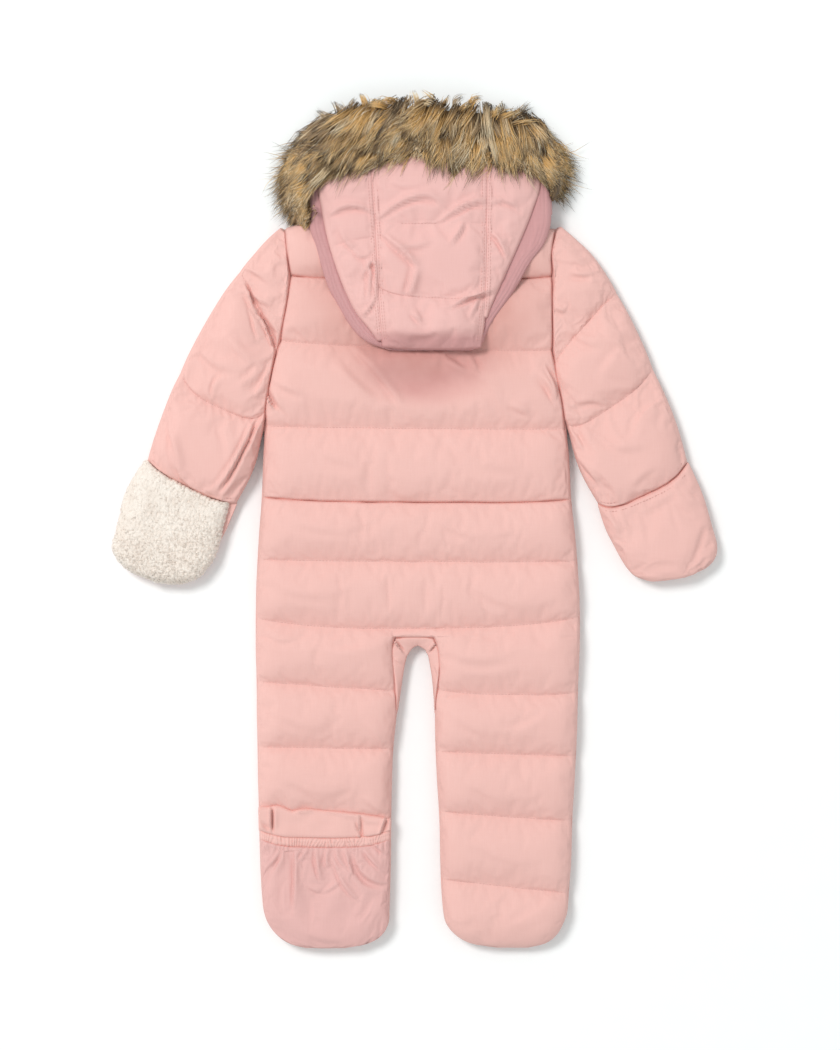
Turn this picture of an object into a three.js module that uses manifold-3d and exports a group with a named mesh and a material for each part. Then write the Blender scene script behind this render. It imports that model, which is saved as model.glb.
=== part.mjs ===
// A toddler's padded snowsuit, laid flat on its front with its hood folded down over its back.
// Millimetres. X runs across the suit, +Y towards the hood, +Z up. The origin is on the floor, under
// the middle of the suit. Left is the wearer's left, at -X.
import * as THREE from 'three';
import { mergeVertices } from 'three/addons/utils/BufferGeometryUtils.js';
import Module from 'manifold-3d';

const wasm = await Module();
wasm.setup();

// Levels of the two lying layers
const frontTop = 13.85; // inner side of the fronts
const backBase = 14.15; // underside of what lies on the fronts
const edgeWall = 2; // thickness of a panel along its outer seam
const edgeRadius = 26; // how far in from its seam a panel rounds off
const valleyRise = 7; // of a stitched valley over the edge seam
const puffRise = 7; // of the middle of a quilted channel over its valleys
const seamShare = 0.4; // how far a panel sinks along a seam inside the outline
const scallop = 1.6; // how far a stitched line draws the outline in
const pieceGap = 0.5; // between pieces along a curved seam
const armholeGap = 0.9; // between a sleeve and the body
const seamGap = 0.3; // between pieces along a straight seam, and between layers

// Body outline by height: where the left and right sides run
const bodySides = [
  { y: 323, left: -143.5, right: 154 },
  { y: 295, left: -141, right: 148.5 },
  { y: 270, left: -139, right: 150.5 },
  { y: 244, left: -141, right: 149.5 },
  { y: 208, left: -148, right: 150 },
  { y: 170, left: -157, right: 152.5 },
  { y: 129, left: -164.5, right: 160.5 },
  { y: 82, left: -167, right: 167 },
  { y: 24, left: -169.5, right: 170.5 },
  { y: -42, left: -174, right: 177 },
  { y: -110, left: -176, right: 180 },
  { y: -180, left: -175, right: 178 },
  { y: -250, left: -174, right: 176 },
  { y: -319, left: -172.5, right: 172 },
  { y: -377, left: -171, right: 170 },
  { y: -405, left: -169.5, right: 168 },
  { y: -429, left: -167, right: 166 },
  { y: -442, left: -162, right: 161.5 },
  { y: -455, left: -152, right: 154 },
  { y: -464, left: -138, right: 142 },
  { y: -468, left: -122, right: 125 },
];

// Inner edges of the two legs, below the arch of the gusset's outer seam
const archTop = -126;
const legInsides = [
  { y: -126, left: -24, right: 20 },
  { y: -134, left: -27, right: 24 },
  { y: -147, left: -27.3, right: 26.4 },
  { y: -161, left: -26, right: 27 },
  { y: -174, left: -24, right: 25 },
  { y: -193, left: -22, right: 22 },
  { y: -212, left: -22, right: 21.6 },
  { y: -245, left: -25.3, right: 22 },
  { y: -278, left: -27, right: 23.5 },
  { y: -328, left: -28, right: 26.4 },
  { y: -377, left: -28.5, right: 27.5 },
  { y: -405, left: -29.2, right: 28.6 },
  { y: -429, left: -30, right: 30.8 },
  { y: -442, left: -31, right: 34 },
  { y: -455, left: -38.5, right: 44.6 },
  { y: -464, left: -55, right: 61.6 },
  { y: -468, left: -78, right: 86.9 },
];

// Open inner edge of the gusset, from the top of the gap between the legs
const gussetRise = 5; // of the gusset's outer seam over its open edge
const gapSides = [
  { y: -135.3, left: -1.5, right: 4.5 },
  { y: -140, left: -6, right: 10.5 },
  { y: -147, left: -10.7, right: 14.3 },
  { y: -157, left: -13.2, right: 16.2 },
  { y: -170, left: -15.4, right: 18.4 },
  { y: -193, left: -18.7, right: 20.4 },
  { y: -212, left: -21.5, right: 21 },
];

// Quilting. quilt counts the stitched lines: a whole number is a line, a part of one lies between.
// left and right are the line's ends, dip is how far its middle hangs below them.
const yokeLines = [
  { quilt: 0, left: 322.5, right: 320.5, dip: -14 },
  { quilt: 1, left: 271.2, right: 270.2, dip: 4 },
];
const upperLines = [
  { quilt: 0, left: 270.9, right: 269.9, dip: 4 },
  { quilt: 1, left: 199.5, right: 189, dip: 3 },
  { quilt: 2, left: 105.5, right: 102.3, dip: 1 },
  { quilt: 3, left: 27.5, right: 25, dip: 4.5 },
];
const seatLines = [
  { quilt: 0, left: 27.2, right: 24.7, dip: 4.5 },
  { quilt: 1, left: -41, right: -43, dip: 1.5 },
  { quilt: 2, left: -105.5, right: -104.5, dip: 12 },
  { quilt: 2.3, left: archTop, right: archTop, dip: 0 },
];
const leftLegLines = [
  { quilt: 2.3, left: archTop, right: archTop, dip: 0 },
  { quilt: 3, left: -175.5, right: -185.5, dip: 0 },
  { quilt: 4, left: -247.5, right: -249.5, dip: 0 },
  { quilt: 5, left: -314.5, right: -327, dip: 1 },
];
const rightLegLines = [
  { quilt: 2.3, left: archTop, right: archTop, dip: 0 },
  { quilt: 3, left: -184, right: -187, dip: 4 },
  { quilt: 4, left: -252.5, right: -257.5, dip: 0 },
  { quilt: 5, left: -318, right: -328, dip: 1 },
  { quilt: 6, left: -393, right: -408, dip: 0 },
  { quilt: 6.55, left: -437, right: -441, dip: 0 },
  { quilt: 7, left: -468, right: -468, dip: 0 },
];

// Sleeves: the outer edge by height, the inner edge below the underarm, and the lines across
const underarm = 112;
const sleeveSides = [
  { y: 324, left: -150, right: 162 },
  { y: 309, left: -165, right: 178 },
  { y: 293, left: -179, right: 194 },
  { y: 272, left: -197, right: 209 },
  { y: 251, left: -212, right: 222 },
  { y: 207, left: -238, right: 244 },
  { y: 160, left: -262, right: 265 },
  { y: 117, left: -279, right: 283 },
  { y: 66, left: -297, right: 299.5 },
];
const sleeveInsides = [
  { y: 112, left: -166.3, right: 164.2 },
  { y: 100, left: -169, right: 168 },
  { y: 60, left: -179, right: 180 },
  { y: 20, left: -197.5, right: 200 },
];
const rightSleeveLines = [
  { quilt: 0, inner: 320, outer: 324, dip: -1 },
  { quilt: 1, inner: 175, outer: 250, dip: -5 },
  { quilt: 2, inner: 106, outer: 168, dip: 11 },
  { quilt: 3, inner: 21, outer: 66.5, dip: 15 },
];
const leftSleeveLines = [
  { quilt: 0, inner: 318, outer: 322.5, dip: -1 },
  { quilt: 1, inner: 188, outer: 274, dip: -5 },
  { quilt: 2, inner: 121, outer: 163, dip: 18 },
  { quilt: 3, inner: 21.5, outer: 67.5, dip: 8 },
];

// Mittens: lines across, from the sleeve's end to the tip
const rightMittenLines = [
  { innerX: 200.5, innerY: 20.5, outerX: 299.5, outerY: 66, dip: 15 },
  { innerX: 209, innerY: -6, outerX: 315, outerY: 31, dip: 12 },
  { innerX: 219, innerY: -26, outerX: 326, outerY: -6, dip: 9 },
  { innerX: 226, innerY: -39, outerX: 331, outerY: -25, dip: 6 },
  { innerX: 233, innerY: -50, outerX: 329, outerY: -39, dip: 4 },
  { innerX: 242, innerY: -59, outerX: 319, outerY: -50, dip: 3 },
  { innerX: 256, innerY: -64, outerX: 301, outerY: -58, dip: 2 },
];
const leftMittenLines = [
  { innerX: -197.5, innerY: 21, outerX: -297, outerY: 67, dip: 8 },
  { innerX: -209, innerY: -6, outerX: -317, outerY: 33, dip: 6 },
  { innerX: -216, innerY: -20, outerX: -326, outerY: -4, dip: 4 },
  { innerX: -224, innerY: -37, outerX: -331.5, outerY: -25, dip: 3 },
  { innerX: -231, innerY: -49, outerX: -328, outerY: -38, dip: 3 },
  { innerX: -238, innerY: -59, outerX: -315, outerY: -51, dip: 3 },
  { innerX: -251, innerY: -65, outerX: -293, outerY: -61, dip: 2 },
];
const mittenLength = 108;
const mittenRise = 11; // of a mitten's back over its edge seam
const fleeceInset = 9; // of the fleece from the mitten's inner edge
const fleeceRise = 12;

// Hood: outline of the hidden layers, folded edge of the outer panels, and the panels' seams
const hoodBottom = 30.5; // over the back
const hoodBed = 36.4; // between the hidden layers and the outer panels
const hoodWall = 3; // of an outer panel at its edge
const hoodCrown = 7; // rise of the outer panels in their middle
const hoodPuff = 2; // rise between the stitched rows of the hood
const hoodLip = 1.4; // thickness of the hidden layers at their edge
const hoodEdge = 12; // how far in the hidden layers round off
const crownSide = 0.55; // share of the half width over which the crown rounds off
const crownBack = 45; // length over which it rounds off at the hood's folded end
const crownBrim = 120; // and towards the brim
const crownAtBrim = 0.55; // share of the crown that is left at the brim
const hoodEnd = 188.5; // folded end of the hood, over the back
const brimTop = 402; // middle of the brim
const neckStep = 338; // beyond here the hidden layers reach down to the floor
const hoodOutline = [
  { y: 362, left: -118, right: 147 },
  { y: 340, left: -117.5, right: 148 },
  { y: 323, left: -116, right: 146.5 },
  { y: 303, left: -110, right: 139 },
  { y: 286, left: -105, right: 126 },
  { y: 258, left: -96, right: 110 },
  { y: 240, left: -87, right: 98 },
  { y: 220, left: -75, right: 84 },
  { y: 205, left: -63, right: 76 },
  { y: 196, left: -50, right: 72 },
  { y: 188.5, left: -28, right: 62 },
];
const hoodFolds = [
  { y: 380, left: -104, right: 139 },
  { y: 362, left: -107.5, right: 143 },
  { y: 345, left: -103, right: 142.5 },
  { y: 326, left: -99, right: 134 },
  { y: 306, left: -94, right: 122 },
  { y: 277, left: -84, right: 104.5 },
  { y: 249, left: -68, right: 87 },
  { y: 228, left: -52.5, right: 77 },
  { y: 211, left: -41, right: 74 },
];
const hoodSeams = [
  { y: 400, left: -48.5, right: 77 },
  { y: 371, left: -47.5, right: 77.5 },
  { y: 338, left: -45.5, right: 77.3 },
  { y: 310, left: -43.5, right: 77 },
  { y: 255, left: -41, right: 76 },
  { y: 211, left: -37.5, right: 72.5 },
  { y: 190, left: -35, right: 70 },
];
const hoodUnderLines = [
  { left: 359, right: 361, dip: -40 },
  { left: 348, right: 350, dip: -20 },
  { left: neckStep + 0.8, right: neckStep + 0.8, dip: 0 },
  { left: neckStep, right: neckStep, dip: 0 },
  { left: 322, right: 322, dip: 0 },
  { left: 300, right: 300, dip: 0 },
  { left: 280, right: 280, dip: 0 },
  { left: 260, right: 260, dip: 0 },
  { left: 240, right: 240, dip: 0 },
  { left: 222, right: 222, dip: 0 },
  { left: 205, right: 205, dip: 0 },
  { left: 197, right: 196, dip: 0 },
  { left: 189, right: 189, dip: 0 },
];
const hoodCentreLines = [
  { quilt: 0, left: 397.3, right: 397.8, dip: -3 },
  { quilt: 1, left: 326, right: 326, dip: 0 },
  { quilt: 2, left: 257, right: 251, dip: 9 },
  { quilt: 3, left: 193, right: 192, dip: 2 },
];
const hoodLeftLines = [
  { quilt: 0, left: 374, right: 396.8, dip: -4.5 },
  { quilt: 1, left: 300, right: 310, dip: -2 },
  { quilt: 2, left: 213, right: 213, dip: 0 },
];
const hoodRightLines = [
  { quilt: 0, left: 397.5, right: 372, dip: -6 },
  { quilt: 1, left: 310, right: 296, dip: -2 },
  { quilt: 2, left: 225, right: 225, dip: 0 },
];

// Fur ruff: stations from its left end round the brim to its right end
const furCrest = 54;
const furEdge = 9;
const furRound = 0.85; // share of the crescent's width over which it falls off
const furStations = [
  { innerX: -119.5, innerY: 333, outerX: -128, outerY: 330 },
  { innerX: -119.3, innerY: 346, outerX: -138, outerY: 346 },
  { innerX: -119.3, innerY: 359, outerX: -145, outerY: 365 },
  { innerX: -116.5, innerY: 369, outerX: -147, outerY: 386 },
  { innerX: -107, innerY: 379, outerX: -142, outerY: 404 },
  { innerX: -93, innerY: 388, outerX: -129, outerY: 422 },
  { innerX: -72, innerY: 395.5, outerX: -103, outerY: 446 },
  { innerX: -45, innerY: 399.5, outerX: -62, outerY: 461 },
  { innerX: -15, innerY: 401.3, outerX: -20, outerY: 468 },
  { innerX: 18, innerY: 401.5, outerX: 20, outerY: 470 },
  { innerX: 52, innerY: 401.3, outerX: 62, outerY: 468 },
  { innerX: 84, innerY: 399.8, outerX: 104, outerY: 462 },
  { innerX: 110, innerY: 395, outerX: 137, outerY: 448 },
  { innerX: 130, innerY: 388.5, outerX: 154, outerY: 425 },
  { innerX: 143, innerY: 379, outerX: 162, outerY: 404 },
  { innerX: 149, innerY: 366, outerX: 163, outerY: 385 },
  { innerX: 149.3, innerY: 354, outerX: 159, outerY: 364 },
];

// Fold-over feet. The left one is turned over the back, the right one over the front.
const footLining = 3.7; // thickness of the inner foot panel
const bandTop = -342.5; // upper edge of the elastic opening
const bandHeight = 18;
const bandWaves = 24;
const bandRise = 7;
const bandWave = 1.8; // height of the band's gathers
const flapWall = 1.6;
const flapRise = 5;
const gatherHalf = 4.5; // half the width of a gather in the flap
const footEnd = -468;
const hiddenFlap = 3.7; // thickness of the flap turned under the right foot
const hiddenRoom = 4.5; // length over which the front gives way to it
const flapGathers = [
  { x: -161, length: 40, height: 1.6 },
  { x: -150, length: 28, height: 2.4 },
  { x: -141, length: 52, height: 2 },
  { x: -131, length: 58, height: 2.8 },
  { x: -122, length: 36, height: 2 },
  { x: -112, length: 46, height: 2.6 },
  { x: -103, length: 24, height: 1.8 },
  { x: -94, length: 40, height: 2.4 },
  { x: -84, length: 30, height: 2 },
  { x: -74, length: 44, height: 2.6 },
  { x: -65, length: 26, height: 1.8 },
  { x: -56, length: 36, height: 2.2 },
  { x: -46, length: 24, height: 2 },
  { x: -37, length: 30, height: 1.6 },
];

const hiddenFootTop = bandTop + 2; // where the front starts to give way to it

// Front closure, in a groove of the underside
const grooveHalf = 7; // half the width of the groove between the fronts
const closureTop = 334;
const closureEnd = -92; // below here the fronts meet at a seam
const tapeBottom = 12.3;
const tapeThick = 1.2;
const coilHalf = 3;
const coilBottom = 11.2;
const sliderHalf = 4;
const sliderLow = 321;
const sliderHigh = 332;
const sliderBottom = 8.4;
const bridgeHalf = 1.1;
const bridgeBottom = 4.2;
const bridgeThick = 1.2;
const bridgeInset = 0.4; // of its posts from the slider's ends
const hingeY = 326.5;
const hingeZ = 6.9;
const tabHalf = 3;
const tabLength = 24;
const tabThick = 1.2;
const tabCorner = 2;
const tabEyeHalf = 1.7;
const tabEyeLength = 7;
const tabBar = 1.2; // width of the bar that turns in the bridge

const lerp = THREE.MathUtils.lerp;
const clamp = THREE.MathUtils.clamp;

// A smooth curve through a table's rows: the value of one column at y.
function curve(table, name, y) {
  const last = table.length - 1;
  let i = 0;
  while (i < last - 1 && y < table[i + 1].y) i += 1;
  const slope = (k) => {
    const above = table[Math.max(k - 1, 0)];
    const below = table[Math.min(k + 1, last)];
    return (below[name] - above[name]) / (below.y - above.y);
  };
  const span = table[i + 1].y - table[i].y;
  const t = clamp((y - table[i].y) / span, 0, 1);
  const start = (1 + 2 * t) * (1 - t) * (1 - t) * table[i][name] + t * (1 - t) * (1 - t) * span * slope(i);
  const end = t * t * (3 - 2 * t) * table[i + 1][name] - t * t * (1 - t) * span * slope(i + 1);
  return start + end;
}

// Lines set in between a table's lines, every number of them blended; steps may differ per stretch.
function refine(lines, steps) {
  const all = [];
  for (let i = 0; i < lines.length - 1; i += 1) {
    const count = Array.isArray(steps) ? steps[i] : steps;
    for (let k = 0; k < count; k += 1) {
      const line = {};
      for (const name of Object.keys(lines[i])) {
        line[name] = lerp(lines[i][name], lines[i + 1][name], k / count);
      }
      all.push(line);
    }
  }
  all.push({ ...lines[lines.length - 1] });
  return all;
}

// The same, on smooth curves through the lines.
function refineRound(lines, steps) {
  const names = Object.keys(lines[0]);
  const at = (i, name) => lines[clamp(i, 0, lines.length - 1)][name];
  const all = [];
  for (let i = 0; i < lines.length - 1; i += 1) {
    const count = i === lines.length - 2 ? steps + 1 : steps;
    for (let k = 0; k < count; k += 1) {
      const t = k / steps;
      const line = {};
      for (const name of names) {
        const a = at(i - 1, name);
        const b = at(i, name);
        const c = at(i + 1, name);
        const d = at(i + 2, name);
        line[name] = b + 0.5 * t * (c - a + t * (2 * a - 5 * b + 4 * c - d + t * (3 * (b - c) + d - a)));
      }
      all.push(line);
    }
  }
  return all;
}

// Rise of a quilted channel, from 0 on a stitched line to 1 in the middle between two.
function puff(quilt) {
  const t = quilt - Math.floor(quilt);
  return 1 - Math.pow(Math.abs(2 * t - 1), 3);
}

// Quarter round: 0 at the edge to 1 at the given distance from it and beyond.
function round(distance, radius) {
  const t = clamp(1 - distance / radius, 0, 1);
  return Math.sqrt(1 - t * t);
}

// How far a middle point of a line is down from the straight line between its ends.
const hang = (u) => 1 - Math.pow(2 * u - 1, 4);

// One row of points across a panel, from its left to its right end.
function across(line, leftX, rightX, columns) {
  const row = [];
  const inset = line.quilt === undefined ? 0 : scallop * (1 - puff(line.quilt));
  const left = leftX(line.left) + inset;
  const right = rightX(line.right) - inset;
  for (let c = 0; c <= columns; c += 1) {
    const u = c / columns;
    row.push({
      u,
      x: lerp(left, right, u),
      y: lerp(line.left, line.right, u) - line.dip * hang(u),
      quilt: line.quilt ?? 0,
      fromLeft: u * (right - left),
      fromRight: (1 - u) * (right - left),
    });
  }
  return row;
}

// A closed solid between the top and the bottom given for each point of one or more joined grids.
function slab(grids, topOf, bottomOf) {
  const numbers = new Map();
  const places = [];
  const vertex = (x, y, z) => {
    const key = [x, y, z].map((value) => value.toFixed(3)).join(' ');
    if (!numbers.has(key)) {
      numbers.set(key, places.length / 3);
      places.push(x, y, z);
    }
    return numbers.get(key);
  };
  const faces = [];
  const edges = new Map();
  const upper = (a, b, c) => {
    faces.push(a[0], b[0], c[0], a[1], c[1], b[1]);
    for (const [p, q] of [[a, b], [b, c], [c, a]]) edges.set(`${p[0]} ${q[0]}`, [p, q]);
  };
  for (const grid of grids) {
    const pair = (p) => [vertex(p.x, p.y, topOf(p)), vertex(p.x, p.y, bottomOf(p))];
    const pairs = grid.map((row) => row.map(pair));
    for (let r = 0; r < pairs.length - 1; r += 1) {
      for (let c = 0; c < pairs[r].length - 1; c += 1) {
        upper(pairs[r][c], pairs[r + 1][c], pairs[r + 1][c + 1]);
        upper(pairs[r][c], pairs[r + 1][c + 1], pairs[r][c + 1]);
      }
    }
  }
  for (const [p, q] of edges.values()) {
    if (!edges.has(`${q[0]} ${p[0]}`)) faces.push(q[0], p[0], p[1], q[0], p[1], q[1]);
  }
  const geometry = new THREE.BufferGeometry();
  geometry.setAttribute('position', new THREE.Float32BufferAttribute(places, 3));
  geometry.setIndex(faces);
  geometry.computeVertexNormals();
  return geometry;
}

// Materials
const shell = new THREE.MeshStandardMaterial({ color: 0xf2c2ba, roughness: 0.85 });
const hoodCloth = new THREE.MeshStandardMaterial({ color: 0xe8bcba, roughness: 0.85 });
const fleece = new THREE.MeshStandardMaterial({ color: 0xf0e4da, roughness: 1 });
const fur = new THREE.MeshStandardMaterial({ color: 0xa88b62, roughness: 1 });
const tape = new THREE.MeshStandardMaterial({ color: 0xe3aea6, roughness: 0.9 });
const metal = new THREE.MeshStandardMaterial({ color: 0xb9b4ae, roughness: 0.35, metalness: 1 });

const snowsuit = new THREE.Group();

function add(name, geometry, material) {
  const mesh = new THREE.Mesh(geometry, material.clone());
  mesh.name = name;
  snowsuit.add(mesh);
}

const sideLeft = (y) => curve(bodySides, 'left', y);
const sideRight = (y) => curve(bodySides, 'right', y);
const insideLeft = (y) => curve(legInsides, 'left', y);
const insideRight = (y) => curve(legInsides, 'right', y);

// How far a panel sinks at a body side: all the way on the outline, less where a sleeve is sewn on.
const sideShare = (y) => lerp(1, seamShare, THREE.MathUtils.smoothstep(y, underarm - 22, underarm + 12));

const sink = (distance, share) => 1 - share * (1 - round(distance, edgeRadius));

// Upper side of a quilted back piece, with its sinking along its edges.
function quilted(p, sinking) {
  return backBase + edgeWall + (valleyRise + puffRise * puff(p.quilt)) * sinking;
}

const onBack = () => backBase;

// Yoke and upper back
const bodySinking = (p) => sink(p.fromLeft, sideShare(p.y)) * sink(p.fromRight, sideShare(p.y));
const bodyTop = (p) => quilted(p, bodySinking(p));
for (const [name, lines, steps] of [['back_yoke', yokeLines, 4], ['back_upper', upperLines, 6]]) {
  const rows = refine(lines, steps).map((line) => across(line, sideLeft, sideRight, 14));
  add(name, slab([rows], bodyTop, onBack), shell);
}

// Seat and legs. The seat's columns draw together into the two legs' columns.
const legColumns = 8;
const archColumns = 3;
function seatRow(line, progress) {
  const row = across(line, sideLeft, sideRight, 2 * legColumns + archColumns);
  const right = row[row.length - 1].x;
  const left = row[0].x;
  row.forEach((p, c) => {
    let gathered = lerp(insideLeft(archTop), insideRight(archTop), (c - legColumns) / archColumns);
    if (c < legColumns) gathered = lerp(left, insideLeft(archTop), c / legColumns);
    if (c > legColumns + archColumns) {
      gathered = lerp(insideRight(archTop), right, (c - legColumns - archColumns) / legColumns);
    }
    p.x = lerp(p.x, gathered, progress);
    p.fromLeft = p.x - left;
    p.fromRight = right - p.x;
    p.fromInside = edgeRadius;
  });
  return row;
}
const seatLevels = refine(seatLines, [6, 6, 2]);
const seat = seatLevels.map((line, i) => seatRow(line, i / (seatLevels.length - 1)));
const legSteps = [4, 6, 6, 5, 3, 6];
function leg(lines, leftX, rightX, inner) {
  const rows = refine(lines, legSteps.slice(0, lines.length - 1)).map((line) => {
    const row = across(line, leftX, rightX, legColumns);
    row.forEach((p) => {
      p.fromInside = inner === 'right' ? p.fromRight : p.fromLeft;
      if (inner === 'right') p.fromRight = edgeRadius;
      else p.fromLeft = edgeRadius;
    });
    return row;
  });
  return rows;
}
// The legs' first row is the seat's last one, so they are one cloth.
function joined(rows, from) {
  rows[0] = seat[seat.length - 1].slice(from, from + legColumns + 1);
  return rows;
}
const leftLeg = joined(leg(leftLegLines, sideLeft, insideLeft, 'right'), 0);
const rightLeg = joined(leg(rightLegLines, insideRight, sideRight, 'left'), legColumns + archColumns);
const lowerShare = (p) => lerp(seamShare, 1, THREE.MathUtils.smoothstep(-p.y, 150, 215));
const endSinking = (p) => sink(p.y - footEnd, 1);
function lowerTop(p) {
  const sides = sink(p.fromLeft, 1) * sink(p.fromRight, 1) * sink(p.fromInside, lowerShare(p));
  return quilted(p, sides * endSinking(p));
}
add('back_lower', slab([seat, leftLeg, rightLeg], lowerTop, onBack), shell);

// Gusset, an arch between its outer seam and the open edge between the legs
function gussetRows() {
  const levels = [-206, -193, -180, -168, -157, -147, -140];
  const side = (name, sign) => levels.map((y) => ({
    outer: [curve(legInsides, name, y) + sign * pieceGap, y],
    inner: [curve(gapSides, name, Math.min(y - 1, -141)), Math.min(y - 1, -141)],
  }));
  const top = [
    { outer: [-23, archTop - 2.5], inner: [-5, -139] },
    { outer: [-12, archTop - pieceGap], inner: [-2, -136.5] },
    { outer: [0, archTop - pieceGap], inner: [1.5, -135.5] },
    { outer: [11, archTop - pieceGap], inner: [5, -136.5] },
    { outer: [19, archTop - 2.5], inner: [8.5, -138.5] },
  ];
  return [...side('left', 1), ...top, ...side('right', -1).reverse()];
}
const gusset = gussetRows().map(({ outer, inner }) => [0, 0.33, 0.67, 1].map((u) => ({
  u,
  x: lerp(outer[0], inner[0], u),
  y: lerp(outer[1], inner[1], u),
})));
const gussetTop = (p) => backBase + edgeWall + gussetRise * (1 - p.u * p.u);
add('crotch_gusset', slab([gusset.map((row) => row.slice().reverse())], gussetTop, onBack), shell);

// Fronts: the same outline, flat underneath, with a groove between them for the closure
function centreX(y, sign) {
  const half = y > closureEnd - 0.5 ? grooveHalf : seamGap / 2;
  if (y > -135) return sign * half;
  const name = sign < 0 ? 'left' : 'right';
  return curve(y > -212 ? gapSides : legInsides, name, y);
}
const frontLevels = [
  321.5, 308, 295, 282, 270, 240, 208, 189, 170, 150, 129, 110, 90, 60, 24, -10, -42, -70,
  closureEnd, closureEnd - 3, -115, -135.1, -141, -150, -165, -190, -212, -245, -278, -305, -328,
  hiddenFootTop, hiddenFootTop - hiddenRoom + seamGap, -377, -405, -429, -442, -452, -460, -465, footEnd,
];
const shoulderRise = 13; // from the armhole to the neck
function frontGrid(sign) {
  return frontLevels.map((y) => {
    const line = { left: y, right: y, dip: 0 };
    const left = (level) => (sign < 0 ? sideLeft(level) : centreX(level, 1));
    const right = (level) => (sign < 0 ? centreX(level, -1) : sideRight(level));
    const row = across(line, left, right, 7);
    row.forEach((p) => {
      p.fromSide = sign < 0 ? p.fromLeft : p.fromRight;
      p.fromCentre = sign < 0 ? p.fromRight : p.fromLeft;
      if (y === frontLevels[0]) p.y = y + shoulderRise * (sign < 0 ? p.u : 1 - p.u);
      p.onRightFoot = sign > 0 && y <= hiddenFootTop - hiddenRoom + seamGap;
    });
    return row;
  });
}
function frontBottom(p) {
  const centreShare = p.y < -135 ? 1 : 0;
  const rounding = sink(p.fromSide, sideShare(p.y)) * sink(p.fromCentre, centreShare) * endSinking(p);
  const flat = p.onRightFoot ? hiddenFlap + seamGap : 0;
  return lerp(frontTop - edgeWall, flat, rounding);
}
add('front_left', slab([frontGrid(-1)], () => frontTop, frontBottom), shell);
add('front_right', slab([frontGrid(1)], () => frontTop, frontBottom), shell);

// Sleeves: each a back piece on a front piece, from the armhole to the mitten
function sleeveRows(lines, name, columns, steps) {
  const sign = name === 'left' ? -1 : 1;
  const innerX = (y) => {
    if (y < underarm) return curve(sleeveInsides, name, y);
    return curve(bodySides, name, y) + sign * armholeGap;
  };
  const outerX = (y) => curve(sleeveSides, name, y);
  return refine(lines, steps).map((line) => {
    const flipped = name === 'left';
    const ends = flipped
      ? { ...line, left: line.outer, right: line.inner }
      : { ...line, left: line.inner, right: line.outer };
    const row = flipped ? across(ends, outerX, innerX, columns) : across(ends, innerX, outerX, columns);
    const inset = scallop * (1 - puff(line.quilt));
    row.forEach((p) => {
      const u = flipped ? 1 - p.u : p.u;
      // A stitched line draws in the outline only, not the seam to the body.
      if (line.inner > underarm) p.x -= sign * inset * (1 - u);
      p.fromInside = flipped ? p.fromRight : p.fromLeft;
      p.fromOutside = flipped ? p.fromLeft : p.fromRight;
      p.innerY = line.inner;
    });
    return row;
  });
}
const insideShare = (p) => sideShare(p.innerY);
function sleeveTop(p) {
  return quilted(p, sink(p.fromInside, insideShare(p)) * sink(p.fromOutside, 1));
}
function sleeveBottom(p) {
  const rounding = sink(p.fromInside, insideShare(p)) * sink(p.fromOutside, 1);
  return lerp(frontTop - edgeWall, 0, rounding);
}
for (const [name, lines] of [['left', leftSleeveLines], ['right', rightSleeveLines]]) {
  add(`sleeve_${name}_back`, slab([sleeveRows(lines, name, 8, 6)], sleeveTop, onBack), shell);
  add(`sleeve_${name}_front`, slab([sleeveRows(lines, name, 6, 5)], () => frontTop, sleeveBottom), shell);
}

// Mittens. inset draws the inner edge in, for the fleece, whose shell shows beside it.
function mittenRows(lines, columns, inset) {
  const rows = refineRound(lines, 2);
  const sign = Math.sign(lines[0].innerX);
  return rows.map((line, i) => {
    const row = [];
    for (let c = 0; c <= columns; c += 1) {
      const u = c / columns;
      const start = [line.innerX + sign * inset, line.innerY - seamGap];
      const p = {
        u,
        x: lerp(start[0], line.outerX, u),
        y: lerp(start[1], line.outerY - seamGap, u) - line.dip * hang(u),
      };
      const width = Math.hypot(line.outerX - start[0], line.outerY - start[1]);
      p.fromInside = u * width;
      p.fromOutside = (1 - u) * width;
      p.fromTip = mittenLength * (1 - i / (rows.length - 1));
      row.push(p);
    }
    return sign > 0 ? row : row.reverse();
  });
}
const mittenRounding = (p) => sink(p.fromInside, 1) * sink(p.fromOutside, 1) * sink(p.fromTip, 1);
const mittenTop = (p) => backBase + edgeWall + mittenRise * mittenRounding(p);
const mittenBottom = (p) => lerp(frontTop - edgeWall, 0, mittenRounding(p));
const fleeceTop = (p) => backBase + edgeWall + fleeceRise * mittenRounding(p);
add('mitten_right_back', slab([mittenRows(rightMittenLines, 8, 0)], mittenTop, onBack), shell);
add('mitten_right_palm', slab([mittenRows(rightMittenLines, 7, 0)], () => frontTop, mittenBottom), shell);
add('mitten_left_fleece', slab([mittenRows(leftMittenLines, 8, fleeceInset)], fleeceTop, onBack), fleece);
add('mitten_left_palm', slab([mittenRows(leftMittenLines, 7, 0)], () => frontTop, mittenBottom), shell);

// Hood: one rounded solid for the hidden layers, and the three outer panels on it
const outlineLeft = (y) => curve(hoodOutline, 'left', y);
const outlineRight = (y) => curve(hoodOutline, 'right', y);
const underRows = hoodUnderLines.map((line) => {
  const row = across(line, outlineLeft, outlineRight, 16);
  row.forEach((p) => {
    p.beyondNeck = line.left > neckStep;
    p.y = Math.max(p.y, hoodEnd);
  });
  return row;
});
function underTop(p) {
  const sides = round(p.fromLeft, hoodEdge) * round(p.fromRight, hoodEdge);
  return lerp(hoodBottom + hoodLip, hoodBed - seamGap, sides * round(p.y - hoodEnd, hoodEdge));
}
const underBottom = (p) => (p.beyondNeck ? 0 : hoodBottom);
add('hood_under', slab([underRows], underTop, underBottom), hoodCloth);

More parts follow.
